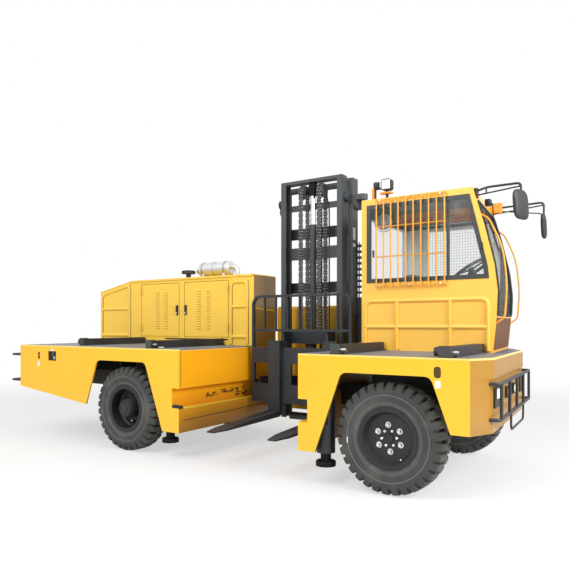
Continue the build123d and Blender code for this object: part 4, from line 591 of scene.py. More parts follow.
# Each louvre's slit is a darker orange strip: painted shade.
louvre_shade_paint = plain_finish("louvre_shade", (0.50, 0.24, 0.025), 0.6)
handle_paint = plain_finish("pull_moulding", (0.018, 0.018, 0.019), 0.45)
LOUVRES, LOUVRE_LOW, LOUVRE_PITCH, LOUVRE_HALF = 16, 1.141, 0.027, 0.022
PULL_HALF, PULL_OUT, PULL_LOW, PULL_HIGH = 0.013, 0.018, 1.294, 1.402
BUTTON_Z = 1.312
BUTTON_SECTION = ((0, 0), (0, 0.009), (0.005, 0.009), (0.007, 0.006), (0.007, 0))
HOOD_DOORS = (("rear", (-1.294, -1.423), -1.117), ("front", (-0.804, -0.669), -0.989))  # louvre columns, pull
for door, columns, pull_x in HOOD_DOORS:
    body = f"hood_door_{door}"
    slits = [box((x - LOUVRE_HALF, HOOD_Y - 0.0055, z - 0.0050),
                 (x + LOUVRE_HALF, HOOD_Y - 0.0002, z - 0.0002), 0.0005)
             for x in columns for z in LOUVRE_LOW + LOUVRE_PITCH * np.arange(LOUVRES)]
    surface(f"louvre_slits_{door}", slits, louvre_shade_paint, body)
    pull = box((pull_x - PULL_HALF, HOOD_Y - PULL_OUT, PULL_LOW), (pull_x + PULL_HALF, HOOD_Y, PULL_HIGH), 0.006)
    surface(f"door_pull_{door}", [pull], handle_paint, body)
    button = turned(BUTTON_SECTION, (pull_x, HOOD_Y - PULL_OUT, BUTTON_Z), LOAD_SIDE, 16)
    surface(f"door_button_{door}", [button], nut_paint, body)

# Exhaust: drum rolled from bright aluminised sheet with a folded seam, held down on the hood
# by two clamp bands.
DRUM_R, BAND_R = 0.077, 0.0815
DRUM_Y, DRUM_Z = 0.420, 1.808
muffler_paint = bare_metal("muffler_steel", (0.80, 0.80, 0.79), 0.26, (0.1, 1, 1))
dress(("muffler",), muffler_paint)
band_paint = bare_metal("clamp_steel", (0.45, 0.45, 0.44), 0.4)
clamps = [turned(((-w, DRUM_R), (-w, BAND_R), (w, BAND_R), (w, DRUM_R)), (x, DRUM_Y, DRUM_Z), (1, 0, 0), 40)
          for x, w in ((-0.930, 0.010), (-0.620, 0.010), (-0.772, 0.003))]
surface("muffler_clamps", clamps, band_paint, "base")

# Work lamp's housing, console, air intake's cap and the hose chain: mouldings in black plastic,
# which the mirrors, pulls and wiper below share.
plastic_paint = dark_enamel("black_moulding", (0.016, 0.016, 0.017), (0.06, 0.06, 0.06), 0.5, 2)
dress(("work_lamp", "console", "intake_cap", "hose_chain"), plastic_paint)

# Cab's outside: sheet steel shell with beads pressed in its near wall, and a brown plate on the front under the
# windshield that is painted shade; the windshield sits in a black rubber seal. Bars and grab tubes are bent rod in
# orange enamel, held by plated bolts; window pulls and wiper are black mouldings.
CAB_Y = -0.078
CAB_RAKE = 0.1052
FRONT_LINE = ((0.970, 2.325), (1.250, 2.352), (1.443, 2.359), (1.646, 2.335), (1.957, 2.261), (2.250, 2.174))


def cab_front(z, y):
    """X of the cab's front: the side outline's value at z, less the rake times the way from the near wall."""
    heights, places = zip(*FRONT_LINE)
    return float(np.interp(z, heights, places)) - CAB_RAKE * (y - CAB_Y)


CAB_RIB_X = (1.279, 1.561, 2.003, 2.292)
CAB_RIB_TOP, CAB_RIB_WAIST = 1.385, 1.168
rear_x, *between, front_x = CAB_RIB_X
cab_beads = [[(rear_x, RIB_FOOT), (rear_x, CAB_RIB_TOP), (front_x, CAB_RIB_TOP), (front_x, RIB_FOOT)]]
cab_beads += [[(x, RIB_FOOT), (x, CAB_RIB_TOP)] for x in between]
cab_beads += [[(rear_x, CAB_RIB_WAIST), (front_x, CAB_RIB_WAIST)]]
plain_cab_paint = yellow_enamel("cab_rib_enamel", CAB_YELLOW)
surface("cab_ribs", rib_beads(cab_beads, CAB_Y), plain_cab_paint, "base")
frame_paint = dark_enamel("window_frame_enamel", (0.030, 0.036, 0.034), (0.10, 0.11, 0.10), 0.35)
dress(("window_frame",), frame_paint)
# A brown plate on the forward-facing front under the windshield: painted shade.
front_shade_paint = plain_finish("brown_kick_panel", (0.110, 0.040, 0.006), 0.6)
shade_plate_corners = ((-0.040, 0.990), (0.880, 0.990), (0.880, 1.240), (-0.040, 1.240))
kick = [[cab_front(z, y) + 0.001, y, z] for y, z in shade_plate_corners]
surface("kick_panel", [plate(kick, (0.004, 0, 0), 0.002)], front_shade_paint, "base")
rubber_paint = plain_finish("seal_rubber", (0.013, 0.013, 0.014), 0.55)
SEAL_NEAR, SEAL_FAR, SEAL_R = -0.036, 0.888, 0.011
SEAL_HEIGHTS = (1.262, 1.443, 1.646, 1.957, 2.150)
glass_edge = [(SEAL_NEAR, z) for z in SEAL_HEIGHTS] + [(SEAL_FAR, z) for z in SEAL_HEIGHTS[::-1]]
glass_edge.append((SEAL_NEAR, SEAL_HEIGHTS[0]))
seal = tube([(cab_front(z, y) + 0.002, y, z) for y, z in glass_edge], SEAL_R, 0.05)
surface("windshield_seal", [seal], rubber_paint, "base")
ARM_Y, ARM_Z = 0.300, 1.930
blade_line = ((0.180, 2.080), (ARM_Y, ARM_Z), (0.400, 1.800))
arm_end = (cab_front(ARM_Z, ARM_Y) + 0.020, ARM_Y, ARM_Z)
wiper = [box((2.222, 0.090, 2.128), (2.262, 0.160, 2.178), 0.005),
         tube(((2.262, 0.125, 2.150), (2.276, 0.125, 2.140), arm_end), 0.005, 0.01),
         tube([(cab_front(z, y) + 0.012, y, z) for y, z in blade_line], 0.006, 0.05)]
surface("windshield_wiper", wiper, plastic_paint, "base")
bar_paint = plain_finish("bar_enamel", (0.80, 0.36, 0.030), 0.4)
dress(("window_guard",), bar_paint)
GRAB_LINE = (  # height, out from the cab's front
    (2.040, -0.004), (2.000, 0.045), (1.780, 0.090), (1.495, 0.074), (1.240, 0.058), (1.195, -0.004))
GRAB_R, GRAB_BEND = 0.007, 0.14
grabs = [tube([(cab_front(z, y) + out, y, z) for z, out in GRAB_LINE], GRAB_R, GRAB_BEND, 12)
         for y in (-0.054, 0.906)]
grab_piece = surface("grab_tubes", grabs, bar_paint, "base")
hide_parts("grab_rods")
small_pulls = [box((x - 0.007, CAB_Y - 0.014, 1.755), (x + 0.007, CAB_Y - 0.003, 1.815), 0.003)
               for x in (1.353, 2.246)]
surface("window_pulls", small_pulls, plastic_paint, "base")
bolt_places = ((1.421, 1.512), (1.677, 1.512), (1.934, 1.512), (1.421, 2.226), (1.934, 2.226))
bar_bolts = bolts([(x, -0.114, z) for x, z in bolt_places], LOAD_SIDE, 0.008, 0.006)
surface("guard_bolts", bar_bolts, nut_paint, "base")

# Cab fan: a cage of four wire rings round a white moulded hub and its spinning disc of blades,
# hung under the roof by one rod.
FAN_X, FAN_Y, FAN_Z = FAN = (1.349, 0.150, 2.090)
FAN_AXIS = (0.25, -1, 0)
FAN_R, WIRE_R = 0.084, 0.0015
FAN_RINGS = ((FAN_R, 0.0), (FAN_R * 0.75, 0.016), (FAN_R * 0.5, 0.026), (FAN_R, -0.020))  # radius, out
HUB_SHAPE = ((-0.02, 0), (-0.02, 0.030), (0.022, 0.030), (0.030, 0.022), (0.032, 0))
BLADE_SHAPE = ((0.004, 0.028), (0.004, 0.072), (0.006, 0.072), (0.006, 0.028))
round_wire = np.linspace(0, 2 * math.pi, 7)
wire_sections = [np.stack((out + WIRE_R * np.sin(round_wire), r + WIRE_R * np.cos(round_wire)), axis=1)
                 for r, out in FAN_RINGS]
cage = [turned(section, FAN, FAN_AXIS, 32) for section in wire_sections]
cage += [tube(((FAN_X - 0.01, FAN_Y + 0.02, FAN_Z + 0.08), (FAN_X, FAN_Y + 0.02, 2.222)), 0.006)]
surface("fan_cage", cage, plastic_paint, "base")
fan_paint = plain_finish("fan_white", (0.72, 0.73, 0.70), 0.4)
fan_turned = [turned(shape, FAN, FAN_AXIS, 24) for shape in (HUB_SHAPE, BLADE_SHAPE)]
surface("fan_hub", fan_turned, fan_paint, "base")

# Driver's seat: foam cushion and low back in grey woven cloth with two sewn channels,
# on a black sprung base with a rubber bellows, bolted to the floor.
SEAT_X, SEAT_Y = 1.700, 0.460
THREAD_WAVE = 2600
CHANNEL_Y = 0.10
SEAT_LEAN, BACK_LEAN = -0.05, 1.40
FOLDS, FOLD_FROM, FOLD_HIGH, FOLD_IN = 7, 1.030, 0.028, 0.012


def cushion(middle, half, lean):
    """Crowned pad: rings of a rounded square (|cos|^0.5, |sin|^0.5), each drawn in by 3% between its corners,
    with the spreads and heights below: flat under, domed on top, and dented along the middle by
    exp(-(y / 0.35)^2). It is then leaned back round the Y axis."""
    angle = np.linspace(0, 2 * math.pi, 56, endpoint=False)
    spread = np.array((0, 0.90, 0.97, 1.0, 1.01, 1.0, 0.97, 0.90, 0.78, 0.62, 0.45, 0.28, 0.12, 0))
    height = np.array((-1, -1, -0.93, -0.6, -0.1, 0.3, 0.52, 0.68, 0.80, 0.88, 0.93, 0.965, 0.985, 0.99))
    draw = 1 - 0.03 * np.cos(2 * angle) ** 2
    beside, ahead = np.cos(angle), np.sin(angle)
    plan = np.stack((np.sign(beside) * np.abs(beside) ** 0.5, np.sign(ahead) * np.abs(ahead) ** 0.5), axis=1)
    plan *= draw[:, None]
    grid = np.empty((len(spread), len(angle), 3))
    grid[..., 0] = spread[:, None] * plan[:, 0] * half[0]
    grid[..., 1] = spread[:, None] * plan[:, 1] * half[1]
    dent = 0.10 * np.exp(-((spread[:, None] * plan[:, 1]) / 0.35) ** 2) * (height[:, None] > 0.2)
    grid[..., 2] = (height[:, None] - dent) * half[2]
    turn = np.array(((math.cos(lean), 0, math.sin(lean)), (0, 1, 0), (-math.sin(lean), 0, math.cos(lean))))
    return grid @ turn.T + np.array(middle, float)


def seat_cloth(name, seams):
    """Grey woven cover: threads as two crossed waves, with sewn channels sunk along the given Y lines and darkened
    there as painted shade.
    """
    made, shader, place = start_material(name, Sheen_Weight=0.3)
    weft = (place.along("Y") * THREAD_WAVE).math("SINE")
    threads = weft * (place.along("Z") * THREAD_WAVE + place.along("X") * THREAD_WAVE).math("SINE")
    channel_shade = 0
    for y in seams:
        channel_shade = 1 - (place.along("Y") - y).math("ABSOLUTE").rise(0.001, 0.005) + channel_shade
    wear = place.noise(8, 5)
    shade = wear.mix((0.040, 0.043, 0.045), (0.085, 0.088, 0.088))
    (channel_shade * 0.6).mix(shade, (0.015, 0.015, 0.016)).feed(shader, "Base Color")
    (0.8 + wear * 0.1).feed(shader, "Roughness")
    (threads * 0.12 - channel_shade).bump(0.5, 0.002).feed(shader, "Normal")
    return made


def seat_block(back, front, half, low, high, bevel=0.004):
    """Bevelled block round the seat's middle line, from its back to its front."""
    return box((SEAT_X + back, SEAT_Y - half, low), (SEAT_X + front, SEAT_Y + half, high), bevel)


cloth = seat_cloth("seat_cloth", (SEAT_Y - CHANNEL_Y, SEAT_Y + CHANNEL_Y))
cushion_form = cushion((SEAT_X + 0.02, SEAT_Y, 1.330), (0.225, 0.225, 0.062), SEAT_LEAN)
seat_pad = surface("seat_cushion", [cushion_form], cloth, "base", 60)
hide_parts("seat")
back_form = cushion((SEAT_X - 0.165, SEAT_Y, 1.490), (0.150, 0.205, 0.045), BACK_LEAN)
back_pad = surface("seat_back", [back_form], cloth, "base", 60)
pedestal = [seat_block(-0.17, 0.17, 0.17, 1.0005, 1.030), seat_block(-0.20, 0.21, 0.20, 1.225, 1.272, 0.006),
            seat_block(-0.215, -0.195, 0.16, 1.240, 1.480)]
for fold in range(FOLDS):
    half, low = 0.15 - FOLD_IN * (fold % 2), FOLD_FROM + FOLD_HIGH * fold
    pedestal.append(seat_block(-half, half, half, low, low + FOLD_HIGH))
surface("seat_base", pedestal, plastic_paint, "base")

# Mirrors: rounded black housings turned towards the driver, their glass on the rear face, each on a bent tube
# and a strut: the near one from a black plate on the roof's corner, the far one from an orange bracket.
def mirror_housing(x, y, turn, half, low, high, lean):
    """Flat rounded shell: rings |cos|^0.55 by |sin|^0.55, swelling and closing along its depth by the
    shares below, leaned sideways by lean times the height and turned round the vertical."""
    angle = np.linspace(0, 2 * math.pi, 40, endpoint=False)
    share = np.array((0, 0.86, 0.96, 1.0, 1.0, 0.90, 0.70, 0.40, 0))[:, None]
    depth = np.array((-0.016, -0.016, -0.013, -0.006, 0.004, 0.012, 0.017, 0.020, 0.021))[:, None]
    up = share * (high - low) / 2 * np.sign(np.sin(angle)) * np.abs(np.sin(angle)) ** 0.55
    across = share * half * np.sign(np.cos(angle)) * np.abs(np.cos(angle)) ** 0.55 - lean * up
    return np.stack((x + depth * math.cos(turn) + across * math.sin(turn),
                     y - depth * math.sin(turn) + across * math.cos(turn), (low + high) / 2 + up), axis=-1)


MIRRORS = (  # x, y, turn, half width, low, high, sideways lean, the bracket's y
    (2.509, 0.010, math.radians(19), 0.094, 1.978, 2.200, 0.13, -0.028),
    (2.524, 0.889, math.radians(2), 0.052, 1.940, 2.150, 0.24, 0.880))
GLASS_OUT, GLASS_SUNK = 0.0012, 0.0002
BRACKET_Z, STAY_Z, STRUT_R = 2.21, 2.244, 0.006
housings, glasses, stays = [], [], []
for x, y, turn, half, low, high, lean, bracket_y in MIRRORS:
    housing = mirror_housing(x, y, turn, half, low, high, lean)
    housings.append(housing)
    out = np.array((math.cos(turn), -math.sin(turn), 0))
    face, rim = housing[:2] - GLASS_OUT * out, housing[:2] - GLASS_SUNK * out
    glasses.append(np.concatenate((face, rim[1:], rim[:1])))
    plate_x = cab_front(BRACKET_Z, bracket_y)
    stays += [tube(((plate_x + 0.010, bracket_y, 2.222), (plate_x + 0.090, bracket_y, STAY_Z),
                    (x, y, 2.254), (x, y, high - 0.02)), 0.009, 0.035),
              tube(((plate_x + 0.010, bracket_y, 2.190), (x, y, 2.230)), STRUT_R)]
    if bracket_y < 0:
        stays += [box((plate_x - 0.004, bracket_y - 0.026, 2.168),
                      (plate_x + 0.022, bracket_y + 0.026, STAY_Z), 0.004),
                  tube(((plate_x + 0.085, bracket_y, 2.200), (plate_x + 0.085, bracket_y, STAY_Z)), STRUT_R)]
stays += [tube(((2.140, 0.880, 2.215), (2.500, 0.900, 2.160), (2.520, 0.903, 2.120)), 0.005, 0.02)]
housing_piece = surface("mirror_housings", housings, plastic_paint, "base", 50)
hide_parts("mirrors")
surface("mirror_stays", stays, black_paint, "base")
silver_paint = bare_metal("mirror_glass", (0.75, 0.78, 0.80), 0.03, (1, 1, 1))
surface("mirror_glasses", glasses, silver_paint, "base")
orange_paint = plain_finish("orange_enamel", (0.86, 0.30, 0.020), 0.4)
orange = [box((cab_front(BRACKET_Z, 0.880) - 0.010, 0.852, 2.195), (2.180, 0.906, 2.285), 0.004),
          box((1.322, -0.048, 2.251), (1.342, -0.016, 2.350), 0.002),
          box((1.398, -0.056, 2.292), (1.500, -0.004, 2.306), 0.002)]
surface("orange_brackets", orange, orange_paint, "base")

# Lamps on the roof: the work lamp's white glass lens, set in its black housing, and a small
# black marker lamp clipped on the orange bracket beside it.
lamp_glass = box((1.417, -0.0645, 2.330), (1.491, -0.0590, 2.407), 0.003)
surface("work_lens", [lamp_glass], lens_paint, "base")
marker = [box((1.336, -0.052, 2.352), (1.380, -0.010, 2.400), 0.006)]
surface("roof_marker", marker, plastic_paint, "base")

# Glass: clear toughened panes in their seals, with a faint green tint and a little dust.
# The far door's pane has a wire mesh cast in it.
glass_paint, shader, place = start_material("window_glass", Roughness=0.04, IOR=1.45)
dust = place.noise(9, 5).rise(0.5, 0.9)
dust.mix((0.40, 0.46, 0.46), (0.65, 0.67, 0.66)).feed(shader, "Base Color")
(0.08 + dust * 0.07).feed(shader, "Alpha")
dress(("cab_glass", "windshield"), glass_paint)
wired_paint, shader, place = start_material("wired_door_glass", Roughness=0.05, IOR=1.45)
WIRE_WAVE = 240
upright = (place.along("X") * WIRE_WAVE).math("SINE").rise(0.90, 1.0)
level = (place.along("Z") * WIRE_WAVE).math("SINE").rise(0.90, 1.0)
wires = upright + level
wires.mix((0.50, 0.56, 0.56), (0.20, 0.22, 0.22)).feed(shader, "Base Color")
(wires * 0.30 + 0.10).feed(shader, "Alpha")
dress(("door_glass",), wired_paint)

# Tyres: solid rubber moulded with 32 staggered lugs a side, notched shoulders and two raised rings
# on each sidewall, pressed on steel rims.
WHEELS = (("rear_near", -0.801, -0.805), ("rear_far", -0.801, 0.805),
          ("front_near", 1.819, -0.805), ("front_far", 1.819, 0.805))
AXLE_Z = 0.395
LUGS = 32
GROOVE_HALF, GROOVE_SOFT = 0.13, 0.02
NEAR_GROOVE, FAR_GROOVE = 0.25, 0.75
SIDEWALL_RINGS = ((0.2985, 0.3060), (0.2350, 0.2390), (0.2470, 0.2520))  # painted pale as a highlight, inner and outer radius
TYRE_SECTION = (  # out from the middle, radius, how far a groove cuts in, and how far it draws the side in
    (0.000, 0.3950, 0, 0), (0.009, 0.3950, 0, 0), (0.015, 0.3948, 0.024, 0), (0.040, 0.3944, 0.026, 0),
    (0.062, 0.3934, 0.026, 0), (0.078, 0.3900, 0.026, 0.001), (0.088, 0.3830, 0.024, 0.005),
    (0.0945, 0.3700, 0.016, 0.010), (0.0990, 0.3540, 0.005, 0.012), (0.1022, 0.3440, 0, 0.009),
    (0.1038, 0.3380, 0, 0), (0.1048, 0.3240, 0, 0), (0.1048, 0.3100, 0, 0), (0.1044, 0.3060, 0, 0),
    (0.1062, 0.3040, 0, 0), (0.1062, 0.3005, 0, 0), (0.1040, 0.2985, 0, 0), (0.1026, 0.2800, 0, 0),
    (0.1000, 0.2600, 0, 0), (0.0985, 0.2530, 0, 0), (0.1000, 0.2515, 0, 0), (0.1000, 0.2480, 0, 0),
    (0.0978, 0.2465, 0, 0), (0.0972, 0.2400, 0, 0), (0.0987, 0.2385, 0, 0), (0.0985, 0.2350, 0, 0),
    (0.0962, 0.2330, 0, 0), (0.0930, 0.2220, 0, 0), (0.0900, 0.2192, 0, 0), (0.0850, 0.2192, 0, 0),
    (0.0850, 0.1912, 0, 0))


def tyre(x, y):
    """Section carried round the axle. A groove cuts in where the share of a lug's pitch lies within
    GROOVE_HALF of a quarter, on one side, or of three quarters, on the other: 1 - rise(|share - middle|)."""
    rows = np.array(TYRE_SECTION)
    rows = np.vstack((rows[::-1] * (-1, 1, 1, 1), rows[1:]))
    rows = np.vstack((rows, rows[:1]))
    shares = np.array((0, 0.11, 0.13, 0.15, 0.25, 0.35, 0.37, 0.39, 0.5, 0.61, 0.63, 0.65, 0.75, 0.85, 0.87, 0.89))
    angle = ((np.arange(LUGS)[:, None] + shares) / LUGS * 2 * math.pi).ravel()
    share = np.tile(shares, LUGS)
    middle = np.where(rows[:, :1] < 0, NEAR_GROOVE, FAR_GROOVE)
    groove = 1 - np.clip((np.abs(share - middle) - GROOVE_HALF + GROOVE_SOFT) / (2 * GROOVE_SOFT), 0, 1)
    out = rows[:, :1] - np.sign(rows[:, :1]) * rows[:, 3:] * groove
    radius = rows[:, 1:2] - rows[:, 2:3] * groove
    return np.stack((x + radius * np.cos(angle), y + out, AXLE_Z + radius * np.sin(angle)), axis=-1)


def tyre_rubber(name, x):
    """Dull black rubber, dusty on the tread, with a painted highlight on the raised sidewall rings. Distance from
    the axle is the root of the squares of the distances beside and above it."""
    made, shader, place = start_material(name, IOR=1.4)
    beside, above = place.along("X") - x, place.along("Z") - AXLE_Z
    radius = (beside * beside + above * above).math("SQRT")
    outer, inner, middle = (radius.within(*ring) for ring in SIDEWALL_RINGS)
    rings = outer + inner + middle
    fine, cloud = place.noise(90, 4), place.noise(6, 5)
    dusty = cloud.rise(0.4, 0.75) * 0.40 + radius.rise(0.374, 0.394) * 0.30
    colour = dusty.mix((0.050, 0.052, 0.049), (0.150, 0.150, 0.140))
    # Painted highlight: the raised sidewall rings are painted pale.
    (rings * 0.45).mix(colour, (0.21, 0.21, 0.20)).feed(shader, "Base Color")
    (0.70 + fine * 0.15).feed(shader, "Roughness")
    (fine * 0.2).bump(0.5, 0.002).feed(shader, "Normal")
    return made


# Rims: pressed steel in dark enamel. The front discs carry six large and six small plated nuts, the rear
# ones the cast drums of the drive hubs, closed by ten bolts. Each tyre has a bright valve.
def bolt_circle(x, face, radius, count, first=0.0):
    """Spots on a circle round the axle, the first one at an angle: x + r cos, z + r sin, on the wheel's face."""
    angle = np.linspace(0, 2 * math.pi, count, endpoint=False) + first
    return np.stack((x + radius * np.cos(angle), np.full(count, face), AXLE_Z + radius * np.sin(angle)), axis=1)


rim_paint = dark_enamel("rim_enamel", (0.009, 0.009, 0.009), (0.030, 0.030, 0.029), 0.45)
hub_paint = dark_enamel("hub_enamel", (0.014, 0.014, 0.014), (0.06, 0.06, 0.055), 0.5, 2)
HUB_SECTION = ((-0.018, 0), (-0.018, 0.0875), (0.070, 0.0875), (0.078, 0.082), (0.090, 0.080), (0.0985, 0.074),
               (0.0985, 0.040), (0.102, 0.038), (0.104, 0.030), (0.104, 0))
HUB_FACE, HUB_CIRCLE, HUB_BOLTS = 0.0985, 0.062, 10
NUTS, NUT_FIRST, SMALL_FIRST = 6, 0.61, 0.1
FRONT_FACE, FRONT_CIRCLE, SMALL_CIRCLE = 0.050, 0.093, 0.056
REAR_FACE, REAR_CIRCLE = -0.018, 0.125
WASHER_SECTION = ((0, 0.021), (0.004, 0.021), (0.004, 0))
STUD_SECTION = ((0, 0.009), (0.032, 0.009), (0.034, 0))
VALVE_R = 0.006
for where, x, y in WHEELS:
    side = math.copysign(1, y)
    outward = (0, side, 0)
    front = where.startswith("front")
    wheel = f"wheel_{where}"
    rubber_finish = tyre_rubber(f"tyre_rubber_{where}", x)
    rubber = surface(f"moulded_tyre_{where}", [tyre(x, y)], rubber_finish, wheel, 32)
    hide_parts(f"tyre_{where}")
    dress((f"rim_{where}",), rim_paint)

    face = y + side * (FRONT_FACE if front else REAR_FACE)
    big = bolt_circle(x, face, FRONT_CIRCLE if front else REAR_CIRCLE, NUTS, NUT_FIRST)
    nuts = bolts(big, outward, 0.0165, 0.022)
    nuts += [turned(WASHER_SECTION, spot, outward, 16) for spot in big]
    nuts += [turned(STUD_SECTION, spot, outward, 12) for spot in big]
    if front:
        nuts += bolts(bolt_circle(x, face, SMALL_CIRCLE, NUTS, SMALL_FIRST), outward, 0.011, 0.012)
        surface(f"wheel_nuts_{where}", nuts, nut_paint, wheel)
        valve = tube(((1.913, y + side * 0.045, 0.259), (1.913, y + side * 0.080, 0.259)), VALVE_R)
    else:
        surface(f"wheel_nuts_{where}", nuts, hub_paint, wheel)
        drum = turned(HUB_SECTION, (x, y, AXLE_Z), outward, 48)
        ring = bolts(bolt_circle(x, y + side * HUB_FACE, HUB_CIRCLE, HUB_BOLTS), outward, 0.008, 0.007)
        surface(f"drive_hub_{where}", [drum, *ring], hub_paint, wheel)
        valve = tube(((-0.717, y + side * 0.020, 0.292), (-0.717, y + side * 0.086, 0.292)), VALVE_R)
    surface(f"tyre_valve_{where}", [valve], nut_paint, wheel)

chalk = box((1.517, -0.9125, 0.340), (1.525, -0.9095, 0.382))
surface("sidewall_mark", [chalk], white_paint, "wheel_front_near")

# Stabilisers: plated round rods that slide in the black barrels, each with a dark collar
# and a cast round foot.
FOOT_TOP = 0.240
chrome_paint, shader, place = start_material("plated_leg", Metallic=0.8)
above_foot = place.along("Z").rise(FOOT_TOP, FOOT_TOP + 0.004)
streak = place.noise(160, 3, (1, 1, 0.1))
above_foot.mix((0.014, 0.014, 0.014), (0.42, 0.42, 0.43)).feed(shader, "Base Color")
(0.32 + streak * 0.15 + (1 - above_foot) * 0.25).feed(shader, "Roughness")
streak.bump(0.1, 0.0003).feed(shader, "Normal")
dress(("leg_rear", "leg_front"), chrome_paint)

# Mast: rolled steel channels in dark enamel, nested on rollers and wear strips, with welded cross bars,
# a plated lift ram between them, and hoses and side bolts on the outer pair. Carriage, backrest
# and forged forks are nearly black.
mast_paint = dark_enamel("mast_enamel", (0.052, 0.058, 0.061), (0.12, 0.125, 0.125), 0.5)
dress(("reach_frame", "outer_mast", "inner_mast", "lift_barrel"), mast_paint)
carriage_paint = dark_enamel("carriage_enamel", (0.015, 0.020, 0.026), (0.056, 0.062, 0.072), 0.45)
dress(("carriage", "backrest", "forks"), carriage_paint)
ROD_TOP = 2.436
rod_paint, shader, place = start_material("plated_ram", Metallic=1.0)
streak = place.noise(180, 2, (1, 1, 0.1))
plain_rod = 1 - place.along("Z").rise(ROD_TOP, ROD_TOP + 0.004)
plain_rod.mix((0.016, 0.016, 0.016), (0.82, 0.83, 0.85)).feed(shader, "Base Color")
(0.45 - plain_rod * 0.30 + streak * 0.03).feed(shader, "Roughness")
dress(("lift_rod",), rod_paint)

MAST_X = 0.549
HOSE_LINE = ((0.350, 0.900), (0.350, 2.320), (0.300, 2.420), (0.298, 2.540))  # y, z
HOSE_R, HOSE_BEND = 0.007, 0.05
hoses = [tube([(MAST_X + x, y, z) for y, z in HOSE_LINE], HOSE_R, HOSE_BEND) for x in (0.048, 0.064, 0.146)]
surface("mast_hoses", hoses, plastic_paint, "reach")
bolt_spots = [(MAST_SIDE_X, y, z) for z in (0.62, 1.30, 2.38) for y in (0.372, 0.428)]
surface("mast_bolts", bolts(bolt_spots, (1, 0, 0), 0.012, 0.010), mast_paint, "reach")
INNER_SIDE = 0.340
STRIP_T, STRIP_NEAR, STRIP_FAR, STRIP_LOW, STRIP_HIGH = 0.0057, 0.250, 0.3445, 0.264, 2.585
ROLLER_Y, ROLLER_Z = 0.298, 2.391
ROLLER_SECTION = ((0, 0), (0, 0.045), (0.040, 0.045), (0.044, 0.040), (0.044, 0.016), (0.050, 0.014), (0.050, 0))
strips = [box((MAST_X + low, STRIP_NEAR, STRIP_LOW), (MAST_X + high, STRIP_FAR, STRIP_HIGH), 0.0003)
          for low, high in ((INNER_SIDE, INNER_SIDE + STRIP_T), (-INNER_SIDE - STRIP_T, -INNER_SIDE))]
rollers = [turned(ROLLER_SECTION, (MAST_X + side * INNER_SIDE, ROLLER_Y, ROLLER_Z), (side, 0, 0), 32)
           for side in (-1, 1)]
surface("mast_wear_strips", strips, mast_paint, "inner")
surface("mast_rollers", rollers, carriage_paint, "inner")

# Leaf chains: oiled steel link plates stacked on riveted pins. Each runs up from the carriage, over a
# turned and grooved sheave at the ram's head, and down behind it to its anchor.
SHEAVE_Z, LIFT_Y, SHEAVE_X = 2.480, 0.290, 0.101
STRAND_R = 0.065
FRONT_LOW, REAR_LOW = 1.010, 0.900
PITCH = 0.0290
FIRST_LINK, FIRST_PIN = 0.9 * PITCH, 1.35 * PITCH
LINK_COLUMNS = 5
CHAIN_HALF = 0.022
LINK_HALF_HIGH, PIN_HALF = 0.0064, 0.0062
STRAND_LONG = SHEAVE_Z - FRONT_LOW
BEND_LONG = math.pi * STRAND_R
CHAIN_LONG = STRAND_LONG + BEND_LONG + SHEAVE_Z - REAR_LOW
LINKS = int(CHAIN_LONG / PITCH) - 1


def chain_place(s):
    """Y, Z and the turn at a length s along a chain: up the front strand, then at the angle
    (s - strand) / radius round the sheave, then down the rear strand."""
    turn = np.clip((s - STRAND_LONG) / STRAND_R, 0, math.pi)
    over = SHEAVE_Z + STRAND_R * np.sin(turn)
    down = np.where(s < STRAND_LONG + BEND_LONG, over, SHEAVE_Z - (s - STRAND_LONG - BEND_LONG))
    return LIFT_Y - STRAND_R * np.cos(turn), np.where(s < STRAND_LONG, FRONT_LOW + s, down), turn


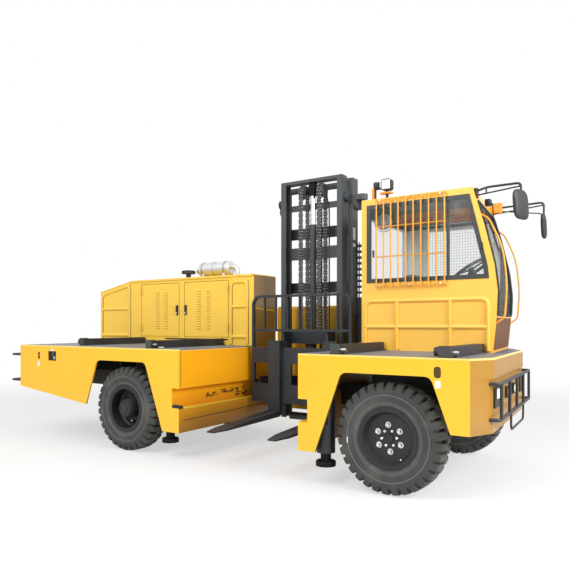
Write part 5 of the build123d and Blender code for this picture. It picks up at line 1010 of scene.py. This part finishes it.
def leaf_chain(x):
    """Link plates set along the chain in five columns that alternate by one pitch. Each is an oval bar
    one and three quarter pitches long, a stretched circle in the plane of the chain's run."""
    step = np.arange(LINKS)
    column = np.arange(LINK_COLUMNS)
    keep = (step[:, None] + column) % 2 == 0
    s = np.repeat((FIRST_LINK + step * PITCH)[:, None], LINK_COLUMNS, axis=1)[keep]
    offset = np.repeat(((column - LINK_COLUMNS // 2) * CHAIN_HALF * 0.4)[None], LINKS, axis=0)[keep]
    y, z, turn = chain_place(s)
    ahead = np.stack((np.sin(turn), np.cos(turn)), axis=1)
    beside = np.stack((ahead[:, 1], -ahead[:, 0]), axis=1)
    corner = np.linspace(0, 2 * math.pi, 10, endpoint=False) + math.pi / 10
    along = 0.36 * PITCH * np.cos(corner) + 0.52 * PITCH * np.sign(np.cos(corner))
    across = LINK_HALF_HIGH * np.sin(corner)
    outline_y = along * ahead[:, :1] + across * beside[:, :1]
    outline_z = along * ahead[:, 1:] + across * beside[:, 1:]
    share = np.array((0, 1, 1, 0))[:, None]
    depth = CHAIN_HALF * 0.19 * np.array((-1, -1, 1, 1))[:, None]
    return np.stack(((x + offset)[:, None, None] + depth + 0 * outline_y[:, None],
                     y[:, None, None] + share * outline_y[:, None],
                     z[:, None, None] + share * outline_z[:, None]), axis=-1)


def chain_pins(x):
    """Round pins across the chain, one at every pitch: y + r cos, z + r sin at each pin's place."""
    y, z, turn = chain_place(FIRST_PIN + np.arange(LINKS) * PITCH)
    y, z = y[:, None, None], z[:, None, None]
    angle = np.linspace(0, 2 * math.pi, 8, endpoint=False)
    radius = PIN_HALF * np.array((0, 1, 1, 0))[:, None]
    width = (CHAIN_HALF + 0.001) * np.array((-1, -1, 1, 1))[:, None]
    across = x + width + 0 * radius * angle + 0 * y
    return np.stack((across, y + radius * np.cos(angle), z + radius * np.sin(angle)), axis=-1)


chain_paint = bare_metal("oiled_chain", (0.10, 0.10, 0.095), 0.4)
pin_paint = plain_finish("chain_pin", (0.46, 0.46, 0.44), 0.35)
chain_x = (MAST_X - SHEAVE_X, MAST_X + SHEAVE_X)
chain_piece = surface("leaf_chains", [leaf_chain(x) for x in chain_x], chain_paint, "inner")
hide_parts("chains")
surface("leaf_chain_pins", [chain_pins(x) for x in chain_x], pin_paint, "inner")
SHEAVE_SECTION = (
    (-0.029, 0.018), (-0.029, 0.030), (-0.027, 0.032), (-0.027, 0.067), (-0.0235, 0.067), (-0.0230, 0.057),
    (0.0230, 0.057), (0.0235, 0.067), (0.027, 0.067), (0.027, 0.032), (0.029, 0.030), (0.029, 0.018),
    (-0.029, 0.018))
AXLE_HALF, AXLE_R = 0.133, 0.0178
wheels = [turned(SHEAVE_SECTION, (x, LIFT_Y, SHEAVE_Z), (1, 0, 0), 48) for x in chain_x]
axle = tube(((MAST_X - AXLE_HALF, LIFT_Y, SHEAVE_Z), (MAST_X + AXLE_HALF, LIFT_Y, SHEAVE_Z)), AXLE_R, sides=20)
sheave_piece = surface("chain_sheaves", wheels + [axle], mast_paint, "inner")
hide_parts("sheaves")
